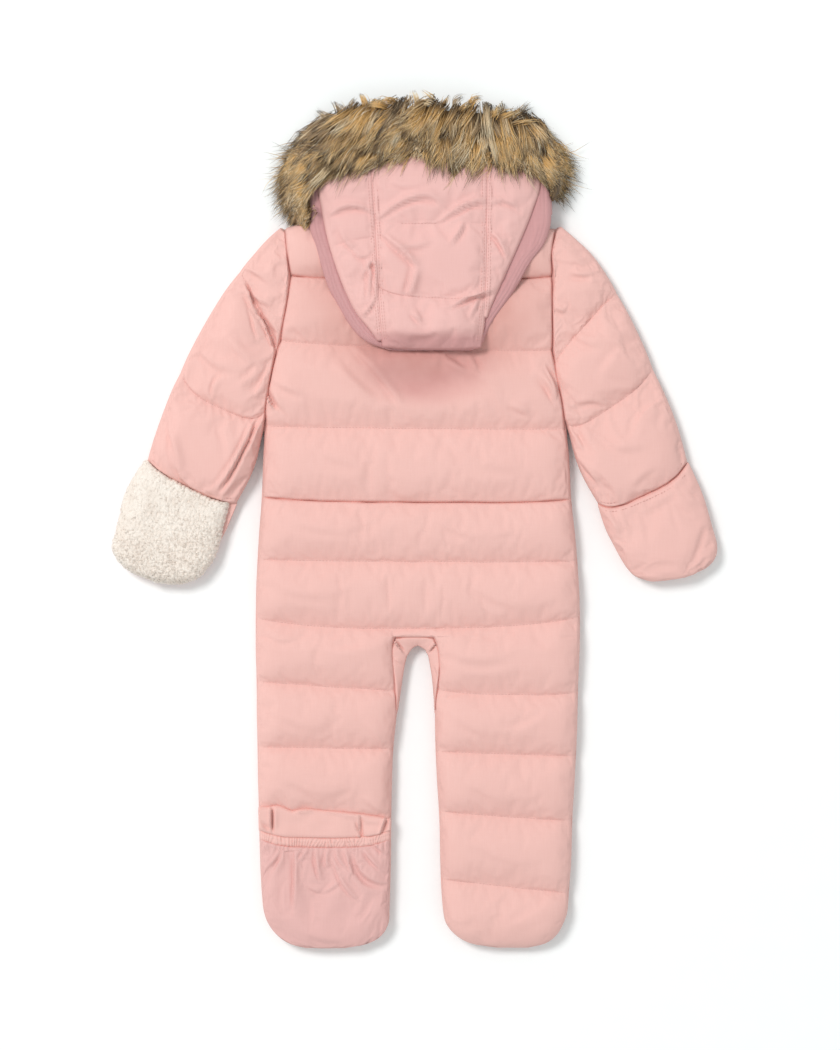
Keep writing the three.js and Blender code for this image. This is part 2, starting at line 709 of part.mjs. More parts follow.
const foldLeft = (y) => curve(hoodFolds, 'left', y);
const foldRight = (y) => curve(hoodFolds, 'right', y);
const seamLeft = (y) => curve(hoodSeams, 'left', y);
const seamRight = (y) => curve(hoodSeams, 'right', y);
function hoodTop(p) {
  const left = Math.min(foldLeft(p.y), seamLeft(p.y));
  const right = Math.max(foldRight(p.y), seamRight(p.y));
  const aside = Math.abs((2 * p.x - left - right) / (right - left));
  const lengthwise = round(p.y - hoodEnd, crownBack) * lerp(crownAtBrim, 1, round(brimTop - p.y, crownBrim));
  const crown = round(Math.max(1 - aside, 0), crownSide) * lengthwise;
  return hoodBed + hoodWall + (hoodCrown + hoodPuff * puff(p.quilt)) * crown;
}
const hoodPieces = [
  ['hood_left', hoodLeftLines, foldLeft, (y) => seamLeft(y) - pieceGap, 5, 8],
  ['hood_centre', hoodCentreLines, seamLeft, seamRight, 10, 6],
  ['hood_right', hoodRightLines, (y) => seamRight(y) + pieceGap, foldRight, 5, 8],
];
for (const [name, lines, leftX, rightX, columns, steps] of hoodPieces) {
  const rows = refine(lines, steps).map((line) => {
    const row = across(line, leftX, rightX, columns);
    // The seams run on: a stitched line doesn't draw them in.
    const inset = scallop * (1 - puff(line.quilt));
    row.forEach((p) => {
      p.x += inset * (2 * p.u - 1);
    });
    return row;
  });
  add(name, slab([rows], hoodTop, () => hoodBed), hoodCloth);
}

// Fur ruff, a crescent round the brim that falls off outwards
const furRows = refineRound(furStations, 2).map((station) => {
  const row = [];
  for (let c = 0; c <= 6; c += 1) {
    const u = c / 6;
    row.push({ u, x: lerp(station.outerX, station.innerX, u), y: lerp(station.outerY, station.innerY, u) });
  }
  return row;
});
const furTop = (p) => furEdge + (furCrest - furEdge) * round(p.u, furRound);
add('fur_trim', slab([furRows.map((row) => row.slice().reverse())], furTop, () => 0), fur);

// Left foot: inner panel, gathered elastic opening and flap, one on the other
const footLeft = (y) => sideLeft(y) + 1;
const footRight = (y) => insideLeft(y) - 1;
const liningLines = [
  { left: -314.9, right: -327.4, dip: 1 },
  { left: bandTop, right: bandTop - 2, dip: 0 },
  { left: -377, right: -377, dip: 0 },
  { left: -429, right: -429, dip: 0 },
  { left: footEnd, right: footEnd, dip: 0 },
];
const liningRows = refine(liningLines, [2, 2, 3, 6]).map((line) => across(line, footLeft, footRight, 6));
add('foot_left_lining', slab([liningRows], () => backBase + footLining, onBack), shell);

const flapBase = backBase + footLining + seamGap;
const bandLines = [
  { left: bandTop, right: bandTop, dip: 0 },
  { left: bandTop - bandHeight, right: bandTop - bandHeight, dip: 0 },
];
const bandRows = refine(bandLines, 3).map((line) => across(line, footLeft, footRight, bandWaves * 2));
const bandSideShare = 0.8; // how far the band sinks at its ends
function bandTopAt(p) {
  const over = (bandTop - p.y) / bandHeight;
  const roll = Math.sqrt(Math.max(1 - Math.pow(2 * over - 1, 2), 0));
  const wave = Math.pow(Math.sin(Math.PI * bandWaves * p.u), 2);
  const rise = bandRise - bandWave + bandWave * wave;
  return flapBase + flapWall + rise * roll * sink(Math.min(p.fromLeft, p.fromRight), bandSideShare);
}
add('foot_left_elastic', slab([bandRows], bandTopAt, () => flapBase), shell);

const flapTopEdge = bandTop - bandHeight - seamGap;
const flapLines = [
  { left: flapTopEdge, right: flapTopEdge, dip: 0 },
  { left: -429, right: -429, dip: 0 },
  { left: footEnd, right: footEnd, dip: 0 },
];
const flapRows = refine(flapLines, [5, 5]).map((line) => across(line, footLeft, footRight, 32));
function flapTop(p) {
  const below = flapTopEdge - p.y;
  let folds = 0;
  for (const gather of flapGathers) {
    const aside = Math.max(1 - Math.abs(p.x - gather.x) / gatherHalf, 0);
    folds += gather.height * aside * clamp(1 - below / gather.length, 0, 1);
  }
  const sides = sink(p.fromLeft, 1) * sink(p.fromRight, 1) * endSinking(p);
  return flapBase + flapWall + (flapRise + folds) * sides;
}
add('foot_left_flap', slab([flapRows], flapTop, () => flapBase), shell);

// Right foot: the flap and its elastic lie flat under the front
const hiddenEdge = 22; // clear of the rounded edge of the front
const hiddenBandTop = hiddenFootTop - hiddenRoom;
const hiddenLeft = (y) => insideRight(y) + hiddenEdge;
const hiddenRight = (y) => sideRight(y) - hiddenEdge;
const hiddenLines = [
  { left: hiddenBandTop, right: hiddenBandTop, dip: 0 },
  { left: hiddenBandTop - bandHeight, right: hiddenBandTop - bandHeight, dip: 0 },
];
const hiddenBand = refine(hiddenLines, 2).map((line) => across(line, hiddenLeft, hiddenRight, 8));
add('foot_right_elastic', slab([hiddenBand], () => hiddenFlap, () => 0), shell);
const hiddenStart = hiddenBandTop - bandHeight - seamGap;
const hiddenEnd = footEnd + hiddenEdge;
const hiddenFlapLines = [
  { left: hiddenStart, right: hiddenStart, dip: 0 },
  { left: -428, right: -428, dip: 0 },
  { left: hiddenEnd, right: hiddenEnd, dip: 6 },
];
const hiddenRows = refine(hiddenFlapLines, [3, 3]).map((line) => across(line, hiddenLeft, hiddenRight, 8));
add('foot_right_flap', slab([hiddenRows], () => hiddenFlap, () => 0), shell);

// Closure
function prism(outline, holes, bottom, height) {
  const shape = new THREE.Shape(outline.map(([x, y]) => new THREE.Vector2(x, y)));
  for (const hole of holes) shape.holes.push(new THREE.Path(hole.map(([x, y]) => new THREE.Vector2(x, y))));
  const geometry = new THREE.ExtrudeGeometry(shape, { depth: height, bevelEnabled: false });
  geometry.translate(0, 0, bottom);
  return geometry;
}
const rectangle = (x0, y0, x1, y1) => [[x0, y0], [x1, y0], [x1, y1], [x0, y1]];

for (const [name, sign] of [['left', -1], ['right', 1]]) {
  const outer = sign * (grooveHalf - seamGap);
  const narrow = sign * (coilHalf + seamGap);
  const wide = sign * (sliderHalf + seamGap);
  const step = sliderLow - seamGap;
  const outline = [
    [outer, closureEnd + seamGap], [narrow, closureEnd + seamGap], [narrow, step], [wide, step],
    [wide, closureTop], [outer, closureTop],
  ];
  add(`zip_tape_${name}`, prism(outline, [], tapeBottom, tapeThick), tape);
}
const coilTop = tapeBottom + tapeThick;
const coilOutline = rectangle(-coilHalf, closureEnd + seamGap, coilHalf, sliderLow - seamGap);
add('zip_coil', prism(coilOutline, [], coilBottom, coilTop - coilBottom), tape);

// Slider with the bridge that its tab hangs in: the section along Y, carried across
const bodyShape = [
  [sliderLow, sliderBottom], [sliderLow, coilTop], [sliderHigh, coilTop], [sliderHigh, sliderBottom],
];
const bridgeRoot = 0.5; // how deep its posts run into the slider
const postLow = sliderLow + bridgeInset;
const postHigh = sliderHigh - bridgeInset;
const bridgeShape = [
  [postLow, sliderBottom + bridgeRoot], [postHigh, sliderBottom + bridgeRoot],
  [postHigh, bridgeBottom], [postLow, bridgeBottom],
];
const bridgeHole = [
  [postLow + bridgeThick, sliderBottom], [postLow + bridgeThick, bridgeBottom + bridgeThick],
  [postHigh - bridgeThick, bridgeBottom + bridgeThick], [postHigh - bridgeThick, sliderBottom],
];
const alongY = new THREE.Matrix4().makeBasis(
  new THREE.Vector3(0, 1, 0),
  new THREE.Vector3(0, 0, 1),
  new THREE.Vector3(1, 0, 0),
);

function solid(geometry) {
  const bare = geometry.clone();
  bare.deleteAttribute('normal');
  bare.deleteAttribute('uv');
  const merged = mergeVertices(bare, 1e-4);
  const vertProperties = new Float32Array(merged.attributes.position.array);
  const triVerts = new Uint32Array(merged.index.array);
  return new wasm.Manifold(new wasm.Mesh({ numProp: 3, vertProperties, triVerts }));
}

function geometryOf(joinedSolid) {
  const mesh = joinedSolid.getMesh();
  const geometry = new THREE.BufferGeometry();
  geometry.setAttribute('position', new THREE.BufferAttribute(mesh.vertProperties, 3));
  geometry.setIndex(new THREE.BufferAttribute(mesh.triVerts, 1));
  geometry.computeVertexNormals();
  return geometry;
}

const sliderBody = solid(prism(bodyShape, [], -sliderHalf, 2 * sliderHalf).applyMatrix4(alongY));
const bridge = solid(prism(bridgeShape, [bridgeHole], -bridgeHalf, 2 * bridgeHalf).applyMatrix4(alongY));
add('zip_slider', geometryOf(sliderBody.add(bridge)), metal);

// Pull tab: a bar in the bridge, an eye round the bridge's post, and a plate with round corners
function tabOutline() {
  const top = hingeY + tabBar / 2;
  const bottom = top - tabLength;
  const outline = [[tabHalf, top], [-tabHalf, top]];
  for (let k = 0; k <= 4; k += 1) {
    const angle = (Math.PI / 2) * (k / 4);
    outline.push([-tabHalf + tabCorner * (1 - Math.cos(angle)), bottom + tabCorner * (1 - Math.sin(angle))]);
  }
  for (let k = 0; k <= 4; k += 1) {
    const angle = (Math.PI / 2) * (k / 4);
    outline.push([tabHalf - tabCorner * (1 - Math.sin(angle)), bottom + tabCorner * (1 - Math.cos(angle))]);
  }
  return outline;
}
const eyeTop = hingeY - tabBar / 2;
const eye = rectangle(-tabEyeHalf, eyeTop - tabEyeLength, tabEyeHalf, eyeTop);
add('zip_pull', prism(tabOutline(), [eye], hingeZ - tabThick / 2, tabThick), metal);

export default snowsuit;
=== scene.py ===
import math

import bmesh
import bpy
import numpy as np
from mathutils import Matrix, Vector


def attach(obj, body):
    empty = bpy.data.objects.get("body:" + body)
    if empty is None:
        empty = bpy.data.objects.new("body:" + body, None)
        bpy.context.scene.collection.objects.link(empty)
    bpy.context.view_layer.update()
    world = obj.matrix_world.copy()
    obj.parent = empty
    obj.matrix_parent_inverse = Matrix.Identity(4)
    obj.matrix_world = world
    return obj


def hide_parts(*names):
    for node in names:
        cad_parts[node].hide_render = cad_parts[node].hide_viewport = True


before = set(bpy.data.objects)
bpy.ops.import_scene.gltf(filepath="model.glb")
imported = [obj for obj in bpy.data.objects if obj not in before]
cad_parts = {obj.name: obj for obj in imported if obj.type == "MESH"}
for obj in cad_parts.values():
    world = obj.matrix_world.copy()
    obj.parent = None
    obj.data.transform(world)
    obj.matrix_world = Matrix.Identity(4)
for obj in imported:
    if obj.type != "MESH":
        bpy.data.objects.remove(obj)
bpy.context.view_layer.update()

# A toddler's padded snowsuit, laid flat on its front. Tables and sizes are in millimetres, in the
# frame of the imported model: X across, +Y towards the hood, +Z up from the floor.
mm = 0.001
print("frame loaded:", len(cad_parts), "nodes")

# Levels shared by every piece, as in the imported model
levels = {
    "frontTop": 13.85,
    "backBase": 14.15,
    "edgeWall": 2.0,
    "edgeRadius": 26.0,
    "valleyRise": 7.0,
    "puffRise": 7.0,
    "seamShare": 0.4,
    "scallop": 1.6,
    "pieceGap": 0.5,
    "armholeGap": 0.9,
    "seamGap": 0.3,
    "underarm": 112.0,
    "archTop": -126.0,
    "footEnd": -468.0,
}

# Outline of the body: y, left x, right x
bodySides = (
    (323, -143.5, 154), (295, -141, 148.5), (270, -139, 150.5), (244, -141, 149.5), (208, -148, 150),
    (170, -157, 152.5), (129, -164.5, 160.5), (82, -167, 167), (24, -169.5, 170.5), (-42, -174, 177),
    (-110, -176, 180), (-180, -175, 178), (-250, -174, 176), (-319, -172.5, 172), (-377, -171, 170),
    (-405, -169.5, 168), (-429, -167, 166), (-442, -162, 161.5), (-455, -152, 154), (-464, -138, 142),
    (-468, -122, 125),
)
legInsides = (
    (-126, -24, 20), (-134, -27, 24), (-147, -27.3, 26.4), (-161, -26, 27), (-174, -24, 25),
    (-193, -22, 22), (-212, -22, 21.6), (-245, -25.3, 22), (-278, -27, 23.5), (-328, -28, 26.4),
    (-377, -28.5, 27.5), (-405, -29.2, 28.6), (-429, -30, 30.8), (-442, -31, 34), (-455, -38.5, 44.6),
    (-464, -55, 61.6), (-468, -78, 86.9),
)
gapSides = (
    (-135.3, -1.5, 4.5), (-140, -6, 10.5), (-147, -10.7, 14.3), (-157, -13.2, 16.2),
    (-170, -15.4, 18.4), (-193, -18.7, 20.4), (-212, -21.5, 21),
)
sleeveSides = (
    (324, -150, 162), (309, -165, 178), (293, -179, 194), (272, -197, 209), (251, -212, 222),
    (207, -238, 244), (160, -262, 265), (117, -279, 283), (66, -297, 299.5),
)
sleeveInsides = ((112, -166.3, 164.2), (100, -169, 168), (60, -179, 180), (20, -197.5, 200))

# Stitched lines: count of the line, y of its left and right end, dip of its middle
quiltLines = {
    "yoke": ((0, 322.5, 320.5, -14), (1, 271.2, 270.2, 4)),
    "upper": ((0, 270.9, 269.9, 4), (1, 199.5, 189, 3), (2, 105.5, 102.3, 1), (3, 27.5, 25, 4.5)),
    "seat": ((0, 27.2, 24.7, 4.5), (1, -41, -43, 1.5), (2, -105.5, -104.5, 12), (2.2, -126, -126, 0)),
    "leftLeg": ((2.2, -126, -126, 0), (3, -175.5, -185.5, 0), (4, -247.5, -249.5, 0),
                (5, -314.5, -327, -4)),
    "rightLeg": ((2.2, -126, -126, 0), (3, -184, -187, 4), (4, -252.5, -257.5, 0), (5, -318, -328, 1),
                 (6, -393, -408, 0), (6.55, -437, -441, 0), (7, -468, -468, 0)),
    # for sleeves: y of the inner end and of the outer end
    "rightSleeve": ((0, 320, 324, -1), (1, 175, 250, -5), (2, 106, 168, 11), (3, 21, 66.5, 15)),
    "leftSleeve": ((0, 318, 322.5, -1), (1, 188, 274, -5), (2, 121, 163, 18), (3, 21.5, 67.5, 8)),
}

# Mittens: inner x and y, outer x and y, dip, from the sleeve's end to the tip
rightMitten = (
    (200.5, 20.5, 299.5, 66, 15), (209, -6, 315, 31, 12), (219, -26, 326, -6, 9), (226, -39, 331, -25, 6),
    (233, -50, 329, -39, 4), (242, -59, 319, -50, 3), (256, -64, 301, -58, 2),
)
leftMitten = (
    (-197.5, 21, -297, 67, 8), (-209, -6, -317, 33, 6), (-216, -20, -326, -4, 4),
    (-224, -37, -331.5, -25, 3), (-231, -49, -328, -38, 3), (-238, -59, -315, -51, 3),
    (-251, -65, -293, -61, 2),
)

# Creases of each piece: start, middle and end in X and Y, height and half width. Under 0, the height
# is a trough's depth.
creases = {
    "back": (
        (-165, 148, -161, 136, -153, 124, -5.6, 2.2), (-158, 146, -152, 134, -146, 124, 1.6, 3.4),
        (144, 172, 152, 154, 156, 138, -3.4, 2.4), (138, 160, 146, 148, 150, 134, 1.4, 3.4),
        (-69, 192, -33, 152, -15, 128, 2.2, 5), (-157, 156, -140, 147, -121, 141, 1.8, 5),
        (-86, 184, -62, 158, -38, 138, -2.6, 9), (60, 186, 67, 176, 70, 166, -1.8, 4),
        (131, 166, 147, 148, 158, 128, 2.2, 6), (101, 130, 113, 124, 126, 121, 1.6, 5),
        (30, 184, 46, 178, 60, 170, -3.0, 7), (60, 170, 82, 150, 96, 120, 1.2, 9),
        (-120, 92, -90, 72, -60, 66, 0.9, 9), (40, 88, 78, 66, 120, 62, 1.0, 10),
        (-150, 12, -100, -6, -56, -2, 1.0, 9), (20, 6, 60, -12, 110, -8, 0.9, 8),
        (-166, -60, -120, -78, -80, -74, 1.2, 9), (60, -66, 104, -88, 160, -82, 1.1, 9),
        (-24, -127, -14, -140, -11, -148, -2.4, 3.5), (22, -135, 17, -141, 14, -146, -2.4, 3.5),
        (-30, -132, -70, -142, -110, -139, 1.4, 8), (28, -138, 64, -150, 100, -146, 1.4, 8),
        (-160, -205, -120, -222, -92, -218, 1.2, 8), (-60, -215, -44, -232, -34, -246, 1.0, 6),
        (40, -205, 66, -226, 98, -228, 1.1, 8), (150, -210, 120, -226, 88, -232, 1.0, 8),
        (-150, -276, -110, -294, -70, -290, 1.2, 8), (-60, -300, -45, -312, -34, -318, 1.2, 5),
        (50, -280, 84, -298, 128, -300, 1.1, 9), (60, -345, 92, -366, 128, -372, 1.0, 9),
        (34, -430, 52, -436, 84, -432, 0.8, 8), (150, -420, 120, -436, 92, -446, 1.0, 8),
        (-168, -118, -150, -128, -132, -126, 1.0, 5), (-30, 40, -10, 30, 20, 34, 0.7, 7),
    ),
    "gusset": (
        (-25, -128, -18, -137, -9, -148, -3.6, 1.3), (23, -133, 18, -139, 12, -147, -3.6, 1.3),
        (-24, -150, -18, -154, -13, -157, 1.4, 2.0), (20, -158, 23, -164, 24, -172, 1.2, 2.0),
    ),
    "leftSleeve": (
        (-186, 262, -181, 246, -171, 229, -3.6, 2.0), (-190, 262, -184, 244, -174, 228, 1.6, 2.6),
        (-173, 231, -162, 212, -154, 188, -6.6, 1.9), (-182, 236, -176, 218, -170, 200, 1.6, 3.4),
        (-196, 300, -186, 282, -160, 262, 1.8, 4.2), (-188, 250, -176, 246, -160, 236, 1.4, 4),
        (-214, 162, -220, 150, -222, 136, 1.6, 3.0),
        (-165, 121, -187, 78, -213, 29, 3.6, 3.2), (-175, 112, -194, 70, -219, 31, -3.2, 2.6),
        (-181, 109, -201, 66, -226, 34, 2.2, 3.0), (-269, 106, -262, 80, -256, 60, 2.6, 4),
        (-268, 102, -258, 52, -228, 31, 1.8, 4), (-205, 205, -196, 190, -180, 176, 1.6, 6),
        (-236, 190, -222, 176, -200, 168, 1.3, 7), (-214, 108, -206, 90, -204, 66, 1.2, 7),
        (-172, 176, -180, 160, -196, 150, 1.6, 6), (-160, 172, -170, 150, -178, 138, 1.8, 5),
    ),
    "rightSleeve": (
        (152, 237, 158, 233, 164, 230, 2.0, 4), (169, 275, 181, 272, 193, 273, 1.8, 5),
        (175, 80, 186, 62, 199, 42, 2.6, 4), (208, 12, 214, 4, 219, -6, 1.8, 4),
        (170, 214, 184, 200, 204, 196, 1.5, 7), (228, 190, 214, 176, 204, 160, 1.3, 7),
        (200, 98, 224, 84, 252, 86, 1.2, 8), (262, 130, 246, 112, 240, 92, 1.2, 7),
        (176, 128, 190, 134, 206, 132, 1.6, 5), (166, 108, 178, 96, 186, 78, -2.2, 4),
        (236, 40, 246, 52, 262, 62, 1.2, 6),
    ),
    "rightMitten": (
        (206, 10, 214, 2, 222, -14, 1.8, 4), (246, 14, 262, 20, 284, 36, 1.0, 7),
        (300, -40, 306, -20, 312, 0, 0.9, 7), (250, -48, 270, -40, 296, -46, 0.8, 7),
    ),
    "hood": (
        (-96, 334, -71, 345, -47, 337, 2.6, 3.4), (-40, 333, 2, 356, 28, 347, 2.8, 4.2),
        (26, 328, 58, 347, 78, 348, 2.8, 3.8), (-40, 318, -10, 291, 1, 280, 2.8, 3.8),
        (1, 281, -3, 263, -9, 246, 2.4, 4.6), (-59, 266, -45, 283, -46, 240, 2.2, 3.0),
        (-55, 288, -51, 268, -53, 238, 1.6, 3.0), (37, 303, 48, 317, 51, 327, 2.0, 3.4),
        (36, 235, 62, 247, 90, 253, 2.8, 3.8), (-4, 229, 0, 224, 6, 219, 1.8, 3.6),
        (80, 319, 93, 304, 100, 287, 1.8, 3.6), (-68, 300, -60, 290, -52, 292, 1.4, 3.0),
        (-24, 303, -4, 300, 16, 306, 1.2, 4.0), (82, 349, 98, 350, 112, 342, 1.6, 3.2),
        (-84, 322, -76, 306, -66, 298, 1.4, 3.6), (-60, 224, -52, 232, -44, 246, 1.5, 3.0),
        (58, 222, 66, 238, 70, 250, 1.3, 3.0), (-30, 212, 0, 206, 36, 210, 1.2, 6.0),
        (-30, 374, -10, 366, 12, 372, 1.0, 5.0), (90, 276, 96, 262, 92, 246, 1.4, 3.2),
    ),
    "cuff": (
        (-158.7, -313, -158.5, -326, -158.2, -341, -5.5, 1.5),
        (-154.5, -314, -155, -326, -155, -340, 1.2, 2.2),
        (-61.8, -322, -61.0, -335, -60.2, -350, -4.0, 1.6), (-66, -330, -63, -340, -57, -350, -2.4, 2.4),
        (-30, -318, -34, -332, -40, -348, -3.6, 2.4), (-140, -312, -128, -318, -112, -317, 1.2, 2.6),
        (-100, -318, -84, -321, -66, -324, 0.9, 2.4), (-170, -330, -165, -336, -160, -338, -2.0, 2.4),
        (-58, -326, -50, -330, -38, -331, 1.0, 3.0),
    ),
    "flap": (
        (-146, -358, -148.5, -372, -156.5, -388, 1.6, 3.4),
        (-132.6, -360, -131.8, -388, -132.8, -428, 2.6, 2.7),
        (-121, -357, -124, -366, -128, -372, 1.6, 2.6), (-109.5, -359, -108, -377, -104, -394, 2.4, 2.7),
        (-98, -358, -99, -370, -97, -380, 1.7, 2.4), (-88, -358, -85, -370, -80, -378, 1.7, 2.6),
        (-67, -360, -56, -386, -30.5, -396, 2.5, 5.2), (-70, -366, -62, -390, -40, -402, -1.0, 6.0),
        (-92, -366, -80, -396, -64, -414, 1.9, 2.9), (-118, -398, -111, -403, -104, -405, 1.1, 3.2),
        (-102, -405, -93, -401, -84, -394, 1.0, 3.6),
        (-163, -350, -166, -356, -171, -364, 1.8, 2.8), (-49.5, -350, -42, -357, -35, -364, 1.9, 2.8),
        (-150, -358, -155, -368, -164, -380, 1.6, 2.8), (-77, -360, -75, -372, -70, -386, 1.7, 2.6),
        (-57, -359, -50, -370, -38, -382, 1.9, 3.0), (-120, -448, -100, -456, -76, -454, 0.9, 6),
        (-158, -412, -150, -426, -146, -442, 1.0, 6), (-46, -412, -52, -430, -66, -444, 0.9, 7),
        (-114, -410, -110, -428, -114, -444, 0.8, 5), (-140, -392, -144, -410, -140, -428, 0.7, 4),
    ),
}


def smoothAt(table, index, y):
    # Hermite pieces through the table's rows, each slope that of the chord between its neighbours
    rows = np.array(table, float)[::-1] if table[0][0] > table[-1][0] else np.array(table, float)
    ys, xs = rows[:, 0], rows[:, index]
    slopes = np.gradient(xs, ys)
    slopes[1:-1] = (xs[2:] - xs[:-2]) / (ys[2:] - ys[:-2])
    y = np.clip(y, ys[0], ys[-1])
    i = np.clip(np.searchsorted(ys, y) - 1, 0, len(ys) - 2)
    h = ys[i + 1] - ys[i]
    t = (y - ys[i]) / h
    start = (1 + 2 * t) * (1 - t) ** 2 * xs[i] + t * (1 - t) ** 2 * h * slopes[i]
    return start + t * t * (3 - 2 * t) * xs[i + 1] - t * t * (1 - t) * h * slopes[i + 1]


def puff(quilt):
    # 0 on a stitched line, 1 midway between two: 1 - |2t - 1|^3
    return 1 - np.abs(2 * (quilt - np.floor(quilt)) - 1) ** 3


def quarterRound(distance, radius):
    # height of a quarter circle over its edge: sqrt(1 - (1 - d/r)^2)
    t = np.clip(1 - distance / radius, 0, 1)
    return np.sqrt(1 - t * t)


def smoothstep(value, low, high):
    t = np.clip((value - low) / (high - low), 0, 1)
    return t * t * (3 - 2 * t)


def softNoise(x, y, seed):
    # value noise: random numbers on a unit lattice, blended with 3t^2 - 2t^3, from -1 to 1
    table = np.random.default_rng(seed).uniform(-1, 1, (128, 128))
    ix, iy = np.floor(x).astype(int), np.floor(y).astype(int)
    fx, fy = x - ix, y - iy
    fx, fy = fx * fx * (3 - 2 * fx), fy * fy * (3 - 2 * fy)
    a, b = table[ix % 128, iy % 128], table[(ix + 1) % 128, iy % 128]
    c, d = table[ix % 128, (iy + 1) % 128], table[(ix + 1) % 128, (iy + 1) % 128]
    return (a * (1 - fx) + b * fx) * (1 - fy) + (c * (1 - fx) + d * fx) * fy


creaseLook = {"gain": 1.6, "width": 0.85, "steep": 0.62, "gentle": 1.5, "trough": 0.5}


def creaseField(name, x, y):
    # each crease is a ridge along a bent line, exp(-(d/w)^2), steep on one side with a trough beside it
    # and gentle on the other, and it runs out towards both ends as sin(pi t)^0.7
    total = np.zeros_like(x)
    for x0, y0, xm, ym, x1, y1, height, width in creases[name]:
        height, width = height * creaseLook["gain"], width * creaseLook["width"]
        near = (np.abs(x - xm) < abs(x1 - x0) + 5 * width) & (np.abs(y - ym) < abs(y1 - y0) + 5 * width)
        if not near.any():
            continue
        px, py = x[near], y[near]
        best = np.full(px.shape, 1e9)
        side, along = np.zeros_like(px), np.zeros_like(px)
        ts = np.linspace(0, 1, 9)
        cx, cy = 2 * xm - (x0 + x1) / 2, 2 * ym - (y0 + y1) / 2
        bx = (1 - ts) ** 2 * x0 + 2 * ts * (1 - ts) * cx + ts ** 2 * x1
        by = (1 - ts) ** 2 * y0 + 2 * ts * (1 - ts) * cy + ts ** 2 * y1
        for k in range(8):
            dx, dy = bx[k + 1] - bx[k], by[k + 1] - by[k]
            length = math.hypot(dx, dy)
            t = np.clip(((px - bx[k]) * dx + (py - by[k]) * dy) / length ** 2, 0, 1)
            d = np.hypot(px - bx[k] - t * dx, py - by[k] - t * dy)
            better = d < best
            best = np.where(better, d, best)
            signed = ((px - bx[k]) * dy - (py - by[k]) * dx) / length
            side = np.where(better, np.sign(signed) * d, side)
            along = np.where(better, (k + t) / 8, along)
        run = np.sin(np.pi * np.clip(along, 0.02, 0.98)) ** 0.7
        slope = np.where(side > 0, creaseLook["steep"], creaseLook["gentle"])
        shape = np.exp(-(side / (width * slope)) ** 2)
        shape = shape - creaseLook["trough"] * np.exp(-((side - 1.25 * width) / (0.75 * width)) ** 2)
        total[near] += height * run * shape * np.exp(-np.maximum(best - np.abs(side), 0) / width)
    return total


puckerLook = {"fine": 0.75, "broad": 0.7, "slow": 0.4, "fineRun": 5.5, "broadRun": 13.0}


def puckerField(x, y, quilt, channel, seed):
    # short folds that run away from the stitched lines and die out within a few millimetres
    away = np.minimum(quilt - np.floor(quilt), np.ceil(quilt) - quilt) * channel
    line, look = np.floor(quilt + 0.5), puckerLook
    fine = softNoise(x / 4.6, y / 26 + line * 7, seed) * np.exp(-away / look["fineRun"])
    broad = softNoise(x / 15, y / 48 + line * 5, seed + 1) * np.exp(-away / look["broadRun"])
    slow = softNoise(x / 46, y / 34, seed + 2) * (1 - np.exp(-away / 12))
    return look["fine"] * fine + look["broad"] * broad + look["slow"] * slow


def crowdEnds(t):
    # steps from 0 to 1 that come closer together at both ends: 0.45 t + 0.275 (1 - cos(pi t))
    return 0.45 * t + 0.275 * (1 - np.cos(np.pi * t))


def blendLines(lines, spacing):
    # rows set in between a table's lines, about spacing apart, every number blended
    table = np.array(lines, float)
    apart = np.maximum(abs(np.diff(table[:, 1])), abs(np.diff(table[:, 2])))
    counts = np.maximum(np.ceil(apart / spacing), 1).astype(int)
    s = np.concatenate([i + crowdEnds(np.linspace(0, 1, n, endpoint=False)) for i, n in enumerate(counts)]
                       + [[len(table) - 1]])
    return [np.interp(s, np.arange(len(table)), table[:, k]) for k in range(table.shape[1])]


def panelGrid(lines, leftX, rightX, columns, spacing, scallop=0.0, waviness=0.0):
    # points across a panel: straight between its ends, hung down by dip (1 - (2u - 1)^4), and uneven by
    # the waviness times a soft noise
    quilt, left, right, dip = [v[:, None] for v in blendLines(lines, spacing)]
    inset = scallop * (1 - puff(quilt))
    x0, x1 = leftX(left) + inset, rightX(right) - inset
    u = crowdEnds(np.linspace(0, 1, columns + 1))[None, :]
    x = x0 + (x1 - x0) * u
    sway = softNoise(x / 17, left / 40, 17)
    return {
        "u": u + 0 * left, "quilt": quilt + 0 * u,
        "x": x,
        "y": left + (right - left) * u - dip * (1 - (2 * u - 1) ** 4) + waviness * sway * np.sin(np.pi * u),
        "fromLeft": u * (x1 - x0), "fromRight": (1 - u) * (x1 - x0),
    }


